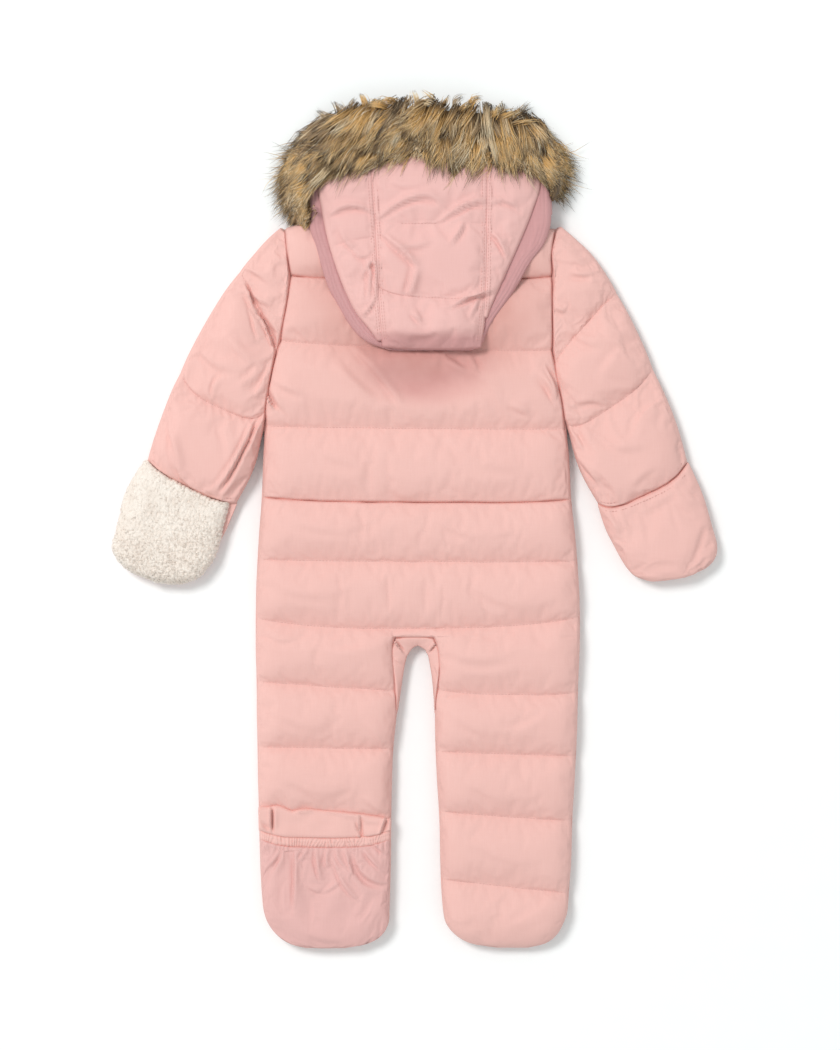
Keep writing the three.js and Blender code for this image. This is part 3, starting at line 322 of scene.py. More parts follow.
def closedMesh(name, grids, press=0.0):
    # upper sheet, lower sheet turned over, and a wall with a rounded middle along the open edges
    places, quads, offset = [], [], 0
    for g in grids:
        rows, columns = g["x"].shape
        places.append(np.stack([g["x"], g["y"], g["top"], g["bottom"] + 0 * g["x"]], -1).reshape(-1, 4))
        k = offset + np.arange(rows * columns).reshape(rows, columns)
        quads.append(np.stack([k[:-1, :-1], k[1:, :-1], k[1:, 1:], k[:-1, 1:]], -1).reshape(-1, 4))
        offset += rows * columns
    places, quads = np.concatenate(places), np.concatenate(quads)
    held = np.concatenate([(g.get("held", 1) + 0 * g["x"]).ravel() for g in grids])
    _, first, joined = np.unique(np.round(places[:, :2], 3), axis=0, return_index=True, return_inverse=True)
    places, quads, held = places[first], joined.reshape(-1)[quads], held[first]
    area = 0
    for i in range(4):
        a, b = places[quads[:, i]], places[quads[:, (i + 1) % 4]]
        area += (a[:, 0] * b[:, 1] - b[:, 0] * a[:, 1]).sum()
    if area < 0:
        quads = quads[:, ::-1]
    n = len(places)
    starts, ends = quads.reshape(-1), np.roll(quads, -1, axis=1).reshape(-1)
    open_ = ~np.isin(starts * n + ends, ends * n + starts)
    p, q = starts[open_], ends[open_]
    edge = places[q, :2] - places[p, :2]
    normal = np.stack([edge[:, 1], -edge[:, 0]], -1)
    out = np.zeros((n, 2))
    np.add.at(out, p, normal)
    np.add.at(out, q, normal)
    rim = np.unique(p)
    out = out[rim] / np.maximum(np.linalg.norm(out[rim], axis=1, keepdims=True), 1e-9)
    thick = places[rim, 2] - places[rim, 3]
    bulge = np.minimum(0.35 * thick, 2.0)[:, None]
    middle = np.column_stack([places[rim, :2] + out * bulge, (places[rim, 2] + places[rim, 3]) / 2])
    if press:
        held[rim] = 1
        places[:, :3] += pressCloth(name, places[:, :3], quads, held, press)
    middleOf = np.zeros(n, int)
    middleOf[rim] = 2 * n + np.arange(len(rim))
    vertices = np.concatenate([places[:, :3], places[:, [0, 1, 3]], middle]) * mm
    above, below = quads, quads[:, ::-1] + n
    if np.ptp(places[:, 3]) < 1e-6:
        below = below[:0]
    elif np.ptp(places[:, 2]) < 1e-6:
        above = above[:0]
    faces = np.concatenate([
        above, below,
        np.stack([q, p, middleOf[p], middleOf[q]], -1),
        np.stack([middleOf[q], middleOf[p], p + n, q + n], -1),
    ])
    used, faces = np.unique(faces, return_inverse=True)
    obj = meshObject(name, vertices[used], faces.reshape(-1, 4))
    coverFlatSide(obj)
    return obj


def coverFlatSide(obj):
    # a side that lies flat on another piece is one face over the open rim
    bm = bmesh.new()
    bm.from_mesh(obj.data)
    rim = [edge for edge in bm.edges if edge.is_boundary]
    if rim:
        made = bmesh.ops.holes_fill(bm, edges=rim, sides=0)["faces"]
        bmesh.ops.recalc_face_normals(bm, faces=bm.faces[:])
        for face in made:
            face.smooth = False
    bm.to_mesh(obj.data)
    bm.free()


clothPress = {"frames": 16, "pressure": 4.0, "most": 3.0, "bending": 0.3}


def pressCloth(name, points, quads, held, surplus):
    # Blender's cloth, cut larger by the surplus and pressed from inside, held along stitches and edges.
    # Gives each point's move, d * min(1, most / |d|)
    look, scene = clothPress, bpy.context.scene
    sheet = meshObject(name + "_pressed", points * mm, quads)
    sheet.vertex_groups.new(name="held").add([int(i) for i in np.flatnonzero(held > 0.5)], 1.0, "REPLACE")
    cloth = sheet.modifiers.new("puff", "CLOTH")
    settings = cloth.settings
    settings.quality = 3
    settings.mass = 0.2
    settings.tension_stiffness = settings.compression_stiffness = 10
    settings.shear_stiffness = 4
    settings.bending_stiffness = look["bending"]
    settings.vertex_group_mass = "held"
    settings.shrink_min = -surplus
    settings.use_pressure = True
    settings.uniform_pressure_force = look["pressure"]
    settings.effector_weights.gravity = 0
    cloth.collision_settings.use_collision = False
    cloth.point_cache.frame_start, cloth.point_cache.frame_end = 1, look["frames"]
    for step in range(1, look["frames"] + 1):
        scene.frame_set(step)
    pressed = sheet.evaluated_get(bpy.context.evaluated_depsgraph_get()).to_mesh()
    after = np.empty(len(points) * 3, np.float32)
    pressed.vertices.foreach_get("co", after)
    bpy.data.objects.remove(sheet)
    scene.frame_set(1)
    move = after.reshape(-1, 3) / mm - points
    far = np.linalg.norm(move, axis=1, keepdims=True)
    print("pressed", name, "mean move", round(float(far.mean()), 2), "mm")
    return move * np.minimum(1, look["most"] / np.maximum(far, 1e-9))


def meshObject(name, vertices, faces):
    # a mesh from arrays of vertices, in metres, and of faces with one number of corners
    mesh = bpy.data.meshes.new(name)
    count, corners = faces.shape
    mesh.vertices.add(len(vertices))
    mesh.vertices.foreach_set("co", np.ascontiguousarray(vertices, dtype=np.float32).ravel())
    mesh.loops.add(count * corners)
    mesh.loops.foreach_set("vertex_index", np.ascontiguousarray(faces, dtype=np.int32).ravel())
    mesh.polygons.add(count)
    mesh.polygons.foreach_set("loop_start", np.arange(0, count * corners, corners, dtype=np.int32))
    mesh.polygons.foreach_set("use_smooth", np.full(count, True))
    mesh.update(calc_edges=True)
    mesh.validate()
    obj = bpy.data.objects.new(name, mesh)
    bpy.context.scene.collection.objects.link(obj)
    return obj


def finishPiece(obj, material, slot, *nodes, body="suit"):
    # the piece's material, the body that it moves with and the nodes that it stands for; the slot is not used
    obj.data.materials.append(material)
    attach(obj, body)
    if nodes:
        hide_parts(*nodes)
    return obj


def paddedPiece(name, g, cloth, slot, press=0.0):
    # a padded piece from one grid or more, its cloth cut larger by the press's share
    obj = finishPiece(closedMesh(name, [g] if isinstance(g, dict) else g, press), cloth, slot, name)


def sheetPiece(name, g, cloth, press=0.0):
    # a thin sheet on the piece under it
    obj = finishPiece(closedMesh(name, [g], press), cloth, "shell", name)


# Materials
def newMaterial(name):
    # an empty material, its tree and its shader
    material = bpy.data.materials.new(name)
    material.use_nodes = True
    return material, material.node_tree, material.node_tree.nodes["Principled BSDF"]


def objectCoords(tree, scale):
    # the piece's own coordinates times scale
    coords = tree.nodes.new("ShaderNodeTexCoord")
    mapping = tree.nodes.new("ShaderNodeMapping")
    mapping.inputs["Scale"].default_value = scale
    tree.links.new(coords.outputs["Object"], mapping.inputs["Vector"])
    return mapping.outputs["Vector"]


def noiseNode(tree, vector, scale, detail=2.0, rough=0.5):
    noise = tree.nodes.new("ShaderNodeTexNoise")
    noise.inputs["Scale"].default_value = scale
    noise.inputs["Detail"].default_value = detail
    noise.inputs["Roughness"].default_value = rough
    tree.links.new(vector, noise.inputs["Vector"])
    return noise.outputs["Fac"]


def mathNode(tree, kind, a, b):
    node = tree.nodes.new("ShaderNodeMath")
    node.operation = kind
    for socket, value in zip(node.inputs, (a, b)):
        if isinstance(value, (int, float)):
            socket.default_value = value
        else:
            tree.links.new(value, socket)
    return node.outputs[0]


def attributeNode(tree, key):
    # a number that each strand carries
    node = tree.nodes.new("ShaderNodeAttribute")
    node.attribute_name = key
    return node.outputs["Fac"]


def rampNode(tree, factor, stops):
    # colours at their stops, blended straight in between
    ramp = tree.nodes.new("ShaderNodeValToRGB")
    elements = ramp.color_ramp.elements
    while len(elements) < len(stops):
        elements.new(0.5)
    for element, (position, colour) in zip(elements, stops):
        element.position = position
        element.color = (*colour, 1)
    tree.links.new(factor, ramp.inputs["Fac"])
    return ramp.outputs["Color"]


def mixColour(tree, factor, a, b):
    # a + (b - a) factor
    node = tree.nodes.new("ShaderNodeMix")
    node.data_type = "RGBA"
    for index, value in ((0, factor), (6, a), (7, b)):
        if isinstance(value, tuple):
            node.inputs[index].default_value = (*value, 1)
        elif isinstance(value, float):
            node.inputs[index].default_value = value
        else:
            tree.links.new(value, node.inputs[index])
    return node.outputs[2]


def rangeNode(tree, value, low, high, most=1.0):
    # smoothstep from low to high, times most
    node = tree.nodes.new("ShaderNodeMapRange")
    node.interpolation_type = "SMOOTHSTEP"
    node.inputs["From Min"].default_value = low
    node.inputs["From Max"].default_value = high
    node.inputs["To Max"].default_value = most
    tree.links.new(value, node.inputs["Value"])
    return node.outputs["Result"]


def bumpNode(tree, shader, height, strength, distance):
    # fine relief in the shader's normal
    bump = tree.nodes.new("ShaderNodeBump")
    bump.inputs["Strength"].default_value = strength
    bump.inputs["Distance"].default_value = distance
    tree.links.new(height, bump.inputs["Height"])
    tree.links.new(bump.outputs["Normal"], shader.inputs["Normal"])


def wovenCloth(name, dark, light, look, band=None, shadowPatches=()):
    # plain weave: two crossed sets of uneven threads tint the colour, a finer set lifts the surface.
    # A band, as low and high Y in metres and a colour, paints shade on the cloth where it turns under. Each
    # shadow patch, as its middle and half size in metres, a colour and its share, paints the shadow that
    # another piece casts beside it
    material, tree, shader = newMaterial(name)
    warp = noiseNode(tree, objectCoords(tree, (1, 0.06, 0.3)), look["threads"], 3)
    weft = noiseNode(tree, objectCoords(tree, (0.06, 1, 0.3)), look["threads"], 3)
    cloudy = noiseNode(tree, objectCoords(tree, (1, 1, 1)), look["clouds"], 2)
    mixed = mathNode(tree, "ADD", mathNode(tree, "MULTIPLY", warp, look["warp"]),
                     mathNode(tree, "MULTIPLY", weft, look["weft"]))
    mixed = mathNode(tree, "ADD", mixed, mathNode(tree, "MULTIPLY", cloudy, look["cloudy"]))
    colour = rampNode(tree, mixed, ((0.3, dark), (0.7, light)))
    # painted shade: below the band's low Y the colour is half the band's colour
    if band:
        low, high, under = band
        split = tree.nodes.new("ShaderNodeSeparateXYZ")
        tree.links.new(objectCoords(tree, (1, 1, 1)), split.inputs["Vector"])
        shaded = mixColour(tree, 0.5, colour, under)
        colour = mixColour(tree, rangeNode(tree, split.outputs["Y"], low, high), shaded, colour)
    # painted shadow: each patch mixes the cloth towards its dark colour in a soft round, broken up by noise
    for middle, half, under, most in shadowPatches:
        scale = (1 / half[0], 1 / half[1], 0)
        round_ = tree.nodes.new("ShaderNodeTexGradient")
        round_.gradient_type = "SPHERICAL"
        place = objectCoords(tree, scale)
        place.node.inputs["Location"].default_value = (-middle[0] * scale[0], -middle[1] * scale[1], 0)
        tree.links.new(place, round_.inputs["Vector"])
        fade = rangeNode(tree, round_.outputs["Fac"], 0.0, look["fade"], most)
        uneven = noiseNode(tree, objectCoords(tree, (1, 1, 0.3)), look["shadowNoise"], 2)
        uneven = mathNode(tree, "ADD", mathNode(tree, "MULTIPLY", uneven, 1.3), 0.35)
        share = mathNode(tree, "MULTIPLY", fade, uneven)
        colour = mixColour(tree, share, colour, under)
    tree.links.new(colour, shader.inputs["Base Color"])
    grain = mathNode(tree, "ADD",
                     noiseNode(tree, objectCoords(tree, (1, 0.22, 0.5)), look["grain"], 2),
                     noiseNode(tree, objectCoords(tree, (0.22, 1, 0.5)), look["grain"], 2))
    bumpNode(tree, shader, grain, look["bump"], look["relief"])
    shader.inputs["Roughness"].default_value = look["rough"]
    shader.inputs["Specular IOR Level"].default_value = look["specular"]
    shader.inputs["Sheen Weight"].default_value = look["sheen"]
    shader.inputs["Sheen Roughness"].default_value = 0.5
    shader.inputs["Sheen Tint"].default_value = look["sheenTint"]
    return material


clothLook = {"threads": 900.0, "warp": 0.46, "weft": 0.3, "clouds": 14.0, "cloudy": 0.24,
             "grain": 2200.0, "bump": 0.2, "relief": 0.0004, "rough": 0.82, "specular": 0.25,
             "sheen": 0.12, "sheenTint": (1.0, 0.86, 0.83, 1), "fade": 0.6, "shadowNoise": 34.0,
             "pink": ((0.782, 0.452, 0.409), (0.818, 0.490, 0.446)),
             # painted shade at the hood's lower end: below Y 0.197 m the cloth is half this colour, fading
             # out by 0.214 m
             "hoodEnd": (0.197, 0.214, (0.42, 0.16, 0.17)),
             # painted shadows of the hood on the upper back: a small one under its end and a wider one round
             # it
             "underHood": ((0.008, 0.182), (0.090, 0.064), (0.49, 0.20, 0.21), 0.5),
             "shadeRoundHood": ((0.012, 0.250), (0.170, 0.140), (0.60, 0.28, 0.24), 0.6)}
pinkCloth = wovenCloth("pinkCloth", *clothLook["pink"], clothLook)
# the hood's cloth, a little darker than the body's, with painted shade where its end turns under
hoodCloth = wovenCloth("hoodCloth", (0.76, 0.438, 0.408), (0.796, 0.476, 0.446), clothLook,
                       clothLook["hoodEnd"])
# the yoke's and upper back's cloth, darkened by the hood's painted shadows
upperShadowCloth = wovenCloth("upperShadowCloth", *clothLook["pink"], clothLook,
                        shadowPatches=(clothLook["underHood"], clothLook["shadeRoundHood"]))
# a darker copy of the pink cloth for the gathered flap: painted shade over its folds
flapShadeCloth = wovenCloth("flapShadeCloth", (0.722, 0.412, 0.386), (0.762, 0.448, 0.422), clothLook)
# a darker copy of the pink cloth for the hood's folded side bands: painted shade where the folds turn away
# from the light
foldShadeCloth = wovenCloth("foldShadeCloth", (0.55, 0.275, 0.275), (0.62, 0.33, 0.33), clothLook)
print("cloth materials made")

# Thread: each stitch is a small pointed lens of eight faces, and all rows become one mesh
stitchLook = {"pitch": 3.6, "length": 2.7, "width": 0.6, "height": 0.35, "lift": 0.1, "reach": 0.6}
stitchPlaces = []


def stitchAlong(line):
    # stitches at even steps of arc length along a line of points, as centre and direction
    length = np.concatenate([[0], np.cumsum(np.linalg.norm(np.diff(line, axis=0), axis=1))])
    pitch, reach = stitchLook["pitch"], stitchLook["reach"]
    at = np.arange(pitch, length[-1] - pitch, pitch)
    centre, front, back = [np.stack([np.interp(k, length, line[:, c]) for c in range(3)], -1)
                           for k in (at, at + reach, at - reach)]
    stitchPlaces.append(np.concatenate([centre, (front - back) / (2 * reach)], -1))


def gridLine(g, *place):
    # a grid's points at the place given, as X, Y and top
    return np.stack([g["x"][place], g["y"][place], g["top"][place]], -1)


def stitchRows(g):
    # a row of stitches lies in every channel line inside the panel
    for row in np.flatnonzero(np.abs(g["quilt"][:, 0] - np.round(g["quilt"][:, 0])) < 1e-6):
        if 0 < row < len(g["quilt"]) - 1:
            stitchAlong(gridLine(g, row)[2:-2])


def sewStitches():
    # each stitch is the same lens, stretched along its row, across it and upwards
    places = np.concatenate(stitchPlaces)
    centre, along = places[:, None, :3], places[:, None, 3:]
    across = np.cross([0.0, 0.0, 1.0], along)
    shape = np.array([(1, 0, 0), (0.3, 1, 0), (-0.3, 1, 0), (-1, 0, 0), (-0.3, -1, 0), (0.3, -1, 0),
                      (0, 0, 1), (0, 0, -1)], float)[None]
    look = stitchLook
    flat = along * shape[..., :1] * look["length"] / 2 + across * shape[..., 1:2] * look["width"] / 2
    points = centre + flat + np.array([0, 0, 1.0]) * (shape[..., 2:] * look["height"] + look["lift"])
    ring = np.arange(6)
    one = np.concatenate([np.stack([ring, (ring + 1) % 6, np.full(6, 6)], -1),
                          np.stack([(ring + 1) % 6, ring, np.full(6, 7)], -1)])
    faces = (one[None] + 8 * np.arange(len(places))[:, None, None]).reshape(-1, 3)
    obj = meshObject("stitches", points.reshape(-1, 3) * mm, faces)
    finishPiece(obj, threadMaterial(), "shell")


def threadMaterial():
    material, tree, shader = newMaterial("thread")
    ply = noiseNode(tree, objectCoords(tree, (1, 1, 1)), 1500, 2)
    colour = rampNode(tree, ply, ((0.3, (0.62, 0.31, 0.28)), (0.7, (0.76, 0.44, 0.4))))
    tree.links.new(colour, shader.inputs["Base Color"])
    shader.inputs["Roughness"].default_value = 0.6
    return material


# Body: yoke, upper back, seat and legs
bodyLook = {"columns": 140, "spacing": 2.5, "channel": 70.0, "fill": 0.55, "surplus": 0.014,
            "waviness": 0.5, "rumple": 0.42}


def follow(table):
    # a table's left and right outline, each as a function of y
    return (lambda y: smoothAt(table, 1, y)), (lambda y: smoothAt(table, 2, y))


sideLeft, sideRight = follow(bodySides)
insideLeft, insideRight = follow(legInsides)


def sideShare(y):
    # how deep a side rounds off: wholly below the underarm, by the seam's share above it
    share = levels["seamShare"]
    return 1 + (share - 1) * smoothstep(y, levels["underarm"] - 22, levels["underarm"] + 12)


def sink(distance, share):
    # 1 away from an edge, falling by the given share of a quarter circle at the edge
    return 1 - share * (1 - quarterRound(distance, levels["edgeRadius"]))


seamLook = {"cleft": 1.5, "cleftWide": 2.2, "fall": 2.7, "uneven": 2.5, "patch": 13.0, "wall": 1.6}


def valleyShape(quilt, channel):
    # a stitched line pulls in a narrow cleft on top of the round channel: exp(-away / wide)
    away = np.minimum(quilt - np.floor(quilt), np.ceil(quilt) - quilt) * channel
    return seamLook["cleft"] * np.exp(-away / seamLook["cleftWide"])


def quiltedTop(g, sinking, seed, channel, rumple, sewn=(True, True)):
    # walls of the seams drop steeply over their last 2 mm, so that a seam reads as a thin dark line
    lift = levels["valleyRise"] + levels["puffRise"] * puff(g["quilt"])
    wrinkles = rumple * puckerField(g["x"], g["y"], g["quilt"], channel, seed)
    cleft = valleyShape(g["quilt"], channel)
    rough = (wrinkles + g.get("creases", 0) - cleft) * (0.25 + 0.75 * smoothstep(sinking, 0.3, 0.85))
    edge = np.minimum(g["fromLeft"], g["fromRight"])
    if sewn[0]:
        edge = np.minimum(edge, (g["quilt"] - g["quilt"][0, 0]) * channel)
    if sewn[1]:
        edge = np.minimum(edge, (g["quilt"][-1, 0] - g["quilt"]) * channel)
    uneven = seamLook["uneven"] * softNoise(g["x"] / seamLook["patch"], g["y"] / seamLook["patch"], 7)
    fall = (seamLook["fall"] + uneven) * (1 - quarterRound(edge, seamLook["wall"]))
    onLine = np.abs(g["quilt"] - np.round(g["quilt"])) < 1e-6
    g["held"] = np.where(onLine | (edge < 1.5), 1.0, 0.0)
    return levels["backBase"] + levels["edgeWall"] + np.maximum(lift * sinking + rough - fall, 0.2)


def bell(value, middle, half):
    # exp(-((value - middle) / half)^2)
    return np.exp(-((value - middle) / half) ** 2)


hoodPress = {"middle": 8.0, "half": 54.0, "rise": 5.5, "riseAt": 193.0, "hollow": 8.5, "hollowAt": 152.0}


def underHood(x, y):
    # the back stands high under the hood's end and hollow below it: two bells in Y, faded out across by
    # exp(-((x - middle) / half)^4)
    look = hoodPress
    across = np.exp(-((x - look["middle"]) / look["half"]) ** 4)
    rise, hollow = bell(y, look["riseAt"], 15), bell(y, look["hollowAt"], 19)
    return across * (look["rise"] * rise - look["hollow"] * hollow)


def bodyPanel(name, part, seed):
    # rounding is the product of a quarter circle at each side
    g = panelGrid(quiltLines[part], sideLeft, sideRight, bodyLook["columns"], bodyLook["spacing"],
                  levels["scallop"], bodyLook["waviness"])
    sinking = sink(g["fromLeft"], sideShare(g["y"])) * sink(g["fromRight"], sideShare(g["y"]))
    g["creases"] = creaseField("back", g["x"], g["y"])
    if part == "upper":
        g["creases"] += underHood(g["x"], g["y"])
    g["top"] = quiltedTop(g, sinking, seed, bodyLook["channel"], bodyLook["rumple"])
    g["bottom"] = levels["backBase"]
    paddedPiece(name, g, upperShadowCloth, "shell", bodyLook["surplus"])
    stitchRows(g)


bodyPanel("back_yoke", "yoke", 11)
bodyPanel("back_upper", "upper", 21)


def hemWave(x):
    # the left leg's hem lifts and drops beside the cuff's first slit
    return 2.2 * bell(x, -153, 8) - 3.2 * bell(x, -135, 9)


def lowerBack():
    # the seat's columns draw together into the columns of the two legs, row by row
    legColumns, archColumns = 64, 18
    columns, spacing = 2 * legColumns + archColumns, bodyLook["spacing"]
    seat = panelGrid(quiltLines["seat"], sideLeft, sideRight, columns, spacing, levels["scallop"],
                     bodyLook["waviness"])
    left, right = seat["x"][:, :1], seat["x"][:, -1:]
    inner0, inner1 = insideLeft(levels["archTop"]), insideRight(levels["archTop"])
    leg = crowdEnds(np.linspace(0, 1, legColumns + 1))[None, :]
    arch = inner0 + (inner1 - inner0) * np.linspace(0, 1, archColumns + 1)[None, 1:-1]
    gathered = np.hstack([left + (inner0 - left) * leg, arch + 0 * left, inner1 + (right - inner1) * leg])
    progress = np.linspace(0, 1, len(left))[:, None]
    seat["x"] = seat["x"] + (gathered - seat["x"]) * progress
    calm = panelGrid(quiltLines["seat"], sideLeft, sideRight, columns, spacing)
    seat["y"] = calm["y"] + (seat["y"] - calm["y"]) * (1 - smoothstep(seat["quilt"], 1.9, 2.15))
    seat["fromLeft"], seat["fromRight"] = seat["x"] - left, right - seat["x"]
    beside = np.maximum(np.maximum(inner0 - seat["x"], seat["x"] - inner1), 0)
    seat["fromInside"] = np.hypot(beside, seat["y"] - levels["archTop"])
    legs = []
    for part, leftX, rightX, inner, first in (
        ("leftLeg", sideLeft, insideLeft, "fromRight", 0),
        ("rightLeg", insideRight, sideRight, "fromLeft", legColumns + archColumns),
    ):
        g = panelGrid(quiltLines[part], leftX, rightX, legColumns, spacing, levels["scallop"],
                      bodyLook["waviness"])
        calm = panelGrid(quiltLines[part], leftX, rightX, legColumns, spacing)
        g["y"] = calm["y"] + (g["y"] - calm["y"]) * smoothstep(g["quilt"], 2.25, 2.6)
        if part == "leftLeg":
            g["y"] += hemWave(g["x"]) * smoothstep(g["quilt"], 4.4, 5)
        g["fromInside"] = g[inner].copy()
        g[inner] = np.full_like(g["x"], 99.0)
        for key in ("x", "y", "quilt", "fromLeft", "fromRight"):
            g[key][0] = seat[key][-1, first:first + legColumns + 1]
        legs.append(g)
    for g in [seat] + legs:
        insideShare = levels["seamShare"] + (1 - levels["seamShare"]) * smoothstep(-g["y"], 150, 215)
        sinking = sink(g["fromLeft"], 1) * sink(g["fromRight"], 1) * sink(g["fromInside"], insideShare)
        sinking = sinking * sink(g["y"] - levels["footEnd"], 1)
        g["creases"] = creaseField("back", g["x"], g["y"])
        g["top"] = quiltedTop(g, sinking, 31, bodyLook["channel"], bodyLook["rumple"], (g is seat, False))
        g["bottom"] = levels["backBase"]
    for g, first in zip(legs, (0, legColumns + archColumns)):
        g["top"][0] = seat["top"][-1, first:first + legColumns + 1]
    paddedPiece("back_lower", [seat] + legs, pinkCloth, "shell", bodyLook["surplus"])
    for g in [seat] + legs:
        stitchRows(g)


lowerBack()
print("back made")

# Gusset: an arch from its outer seam to the open edge between the legs
gussetLook = {"rise": 5.0, "across": 16, "wrinkle": 0.6, "fill": 0.4}


def crotchGusset():
    # each station runs from the outer seam to the open edge, and its height falls as 1 - u^2
    ys = np.array([-206, -193, -180, -168, -157, -147, -140], float)
    gap = levels["pieceGap"]
    low = np.minimum(ys - 1, -141)
    leftSide = np.column_stack([insideLeft(ys) + gap, ys, smoothAt(gapSides, 1, low), low])
    rightSide = np.column_stack([insideRight(ys) - gap, ys, smoothAt(gapSides, 2, low), low])[::-1]
    arch = levels["archTop"]
    top = np.array([[-23, arch - 2.5, -5, -139], [-12, arch - gap, -2, -136.5],
                    [0, arch - gap, 1.5, -135.5], [11, arch - gap, 5, -136.5], [19, arch - 2.5, 8.5, -138.5]])
    stations = np.concatenate([leftSide, top, rightSide])
    s = np.linspace(0, len(stations) - 1, 7 * (len(stations) - 1) + 1)
    outerX, outerY, innerX, innerY = [np.interp(s, np.arange(len(stations)), stations[:, k])[:, None]
                                      for k in range(4)]
    u = np.linspace(0, 1, gussetLook["across"] + 1)[None, :]
    g = {"x": outerX + (innerX - outerX) * u, "y": outerY + (innerY - outerY) * u}
    wrinkle = gussetLook["wrinkle"] * softNoise(s[:, None] * 2.1, u * 1.5, 5)
    wrinkle = wrinkle + creaseField("gusset", g["x"], g["y"])
    edge = 2.5 * (1 - quarterRound(u * np.hypot(innerX - outerX, innerY - outerY), 2.2))
    g["top"] = (levels["backBase"] + levels["edgeWall"]
                + np.maximum(gussetLook["rise"] * (1 - u * u) + 1 + wrinkle * (1 - u * u) - edge, 0.1))
    g["bottom"] = levels["backBase"]
    paddedPiece("crotch_gusset", g, pinkCloth, "shell")


crotchGusset()

# Fronts: flat underneath but for the quilting's valleys, with a groove for the closure
frontLook = {"grooveHalf": 7.0, "closureEnd": -92.0, "shoulderRise": 13.0, "hiddenFlap": 4.0,
             "footTop": -340.5, "room": 4.2, "valley": 4.5, "pucker": 0.5, "columns": 44,
             "spacing": 4.0}


def centreX(y, sign):
    # the closure's edge down to its end, then the gusset's gap, then the leg's inside
    half = np.where(y > frontLook["closureEnd"] - 1.5, frontLook["grooveHalf"], levels["seamGap"] / 2)
    gap = smoothAt(gapSides, 1 if sign < 0 else 2, y)
    leg = smoothAt(legInsides, 1 if sign < 0 else 2, y)
    return np.where(y > -135.05, sign * half, np.where(y > -212, gap, leg))


def frontPanel(name, sign):
    # the underside lies on the floor, rises with 1 - rounding at its edges and by (1 - puff)^2 in a valley
    rows = [321.5, 308, 295, 282, 270, 240, 208, 189, 170, 150, 129, 110, 90, 60, 24, -10, -42, -70,
            -92, -95, -115, -135.1, -141, -150, -165, -190, -212, -245, -278, -305, -328, -340.5, -344.7,
            -377, -405, -429, -442, -452, -460, -465, -468]
    lines = [(i, y, y, 0) for i, y in enumerate(rows)]
    leftX = sideLeft if sign < 0 else (lambda y: centreX(y, 1))
    rightX = (lambda y: centreX(y, -1)) if sign < 0 else sideRight
    g = panelGrid(lines, leftX, rightX, frontLook["columns"], frontLook["spacing"])
    u = g["u"] if sign < 0 else 1 - g["u"]
    shoulder = np.clip((g["y"] - 308) / (321.5 - 308), 0, 1)
    g["y"] = g["y"] + frontLook["shoulderRise"] * u * shoulder
    side, centre = (g["fromLeft"], g["fromRight"]) if sign < 0 else (g["fromRight"], g["fromLeft"])
    stitched = np.array([336, 270, 194, 103, 25, -42, -112, -183, -251, -322, -402, -480][::-1], float)
    quilt = np.interp(g["y"], stitched, np.arange(len(stitched)))
    rounding = sink(side, sideShare(g["y"])) * sink(centre, np.where(g["y"] < -135, 1.0, 0.0))
    rounding = rounding * sink(g["y"] - levels["footEnd"], 1)
    low = levels["frontTop"] - levels["edgeWall"]
    flat = np.where((sign > 0) & (g["y"] < frontLook["footTop"] - frontLook["room"] + 0.1),
                    frontLook["hiddenFlap"], 0.0)
    puckers = np.abs(puckerField(g["x"], g["y"], quilt, bodyLook["channel"], 61))
    groove = frontLook["valley"] * (1 - puff(quilt)) ** 2 + frontLook["pucker"] * puckers
    groove = groove * smoothstep(centre, 2, 14) * smoothstep(rounding, 0.6, 0.95)
    groove = np.where(flat > 0, 0, groove * smoothstep(g["y"], -338, -325))
    g["bottom"] = np.minimum(low + (flat - low) * rounding + groove, low)
    g["top"] = np.full_like(g["x"], levels["frontTop"])
    paddedPiece(name, g, pinkCloth, "shell")


frontPanel("front_left", -1)
frontPanel("front_right", 1)
print("fronts made")

# Sleeves
sleeveLook = {"columns": 64, "spacing": 2.2, "channel": 80.0, "fill": 0.55, "surplus": 0.03, "rumple": 0.85}


def sleeveGrid(side, columns, spacing):
    # u runs from the armhole to the outer edge. Below the underarm the inner edge has an outline of its own
    sign, index = (-1, 1) if side == "left" else (1, 2)

    def innerX(y):
        body = smoothAt(bodySides, index, y) + sign * levels["armholeGap"]
        return np.where(y < levels["underarm"], smoothAt(sleeveInsides, index, y), body)

    def outerX(y):
        return smoothAt(sleeveSides, index, y)

    lines = quiltLines[side + "Sleeve"]
    if side == "left":
        g = panelGrid([(q, outer, inner, dip) for q, inner, outer, dip in lines], outerX, innerX,
                      columns, spacing, levels["scallop"])
        u, g["fromInside"], g["fromOutside"] = 1 - g["u"], g["fromRight"], g["fromLeft"]
    else:
        g = panelGrid(lines, innerX, outerX, columns, spacing, levels["scallop"])
        u, g["fromInside"], g["fromOutside"] = g["u"], g["fromLeft"], g["fromRight"]
    innerY = np.interp(g["quilt"], [line[0] for line in lines], [line[1] for line in lines])
    inset = levels["scallop"] * (1 - puff(g["quilt"]))
    g["x"] = g["x"] - np.where(innerY > levels["underarm"], sign * inset * (1 - u), 0)
    g["innerShare"] = sideShare(innerY)
    return g


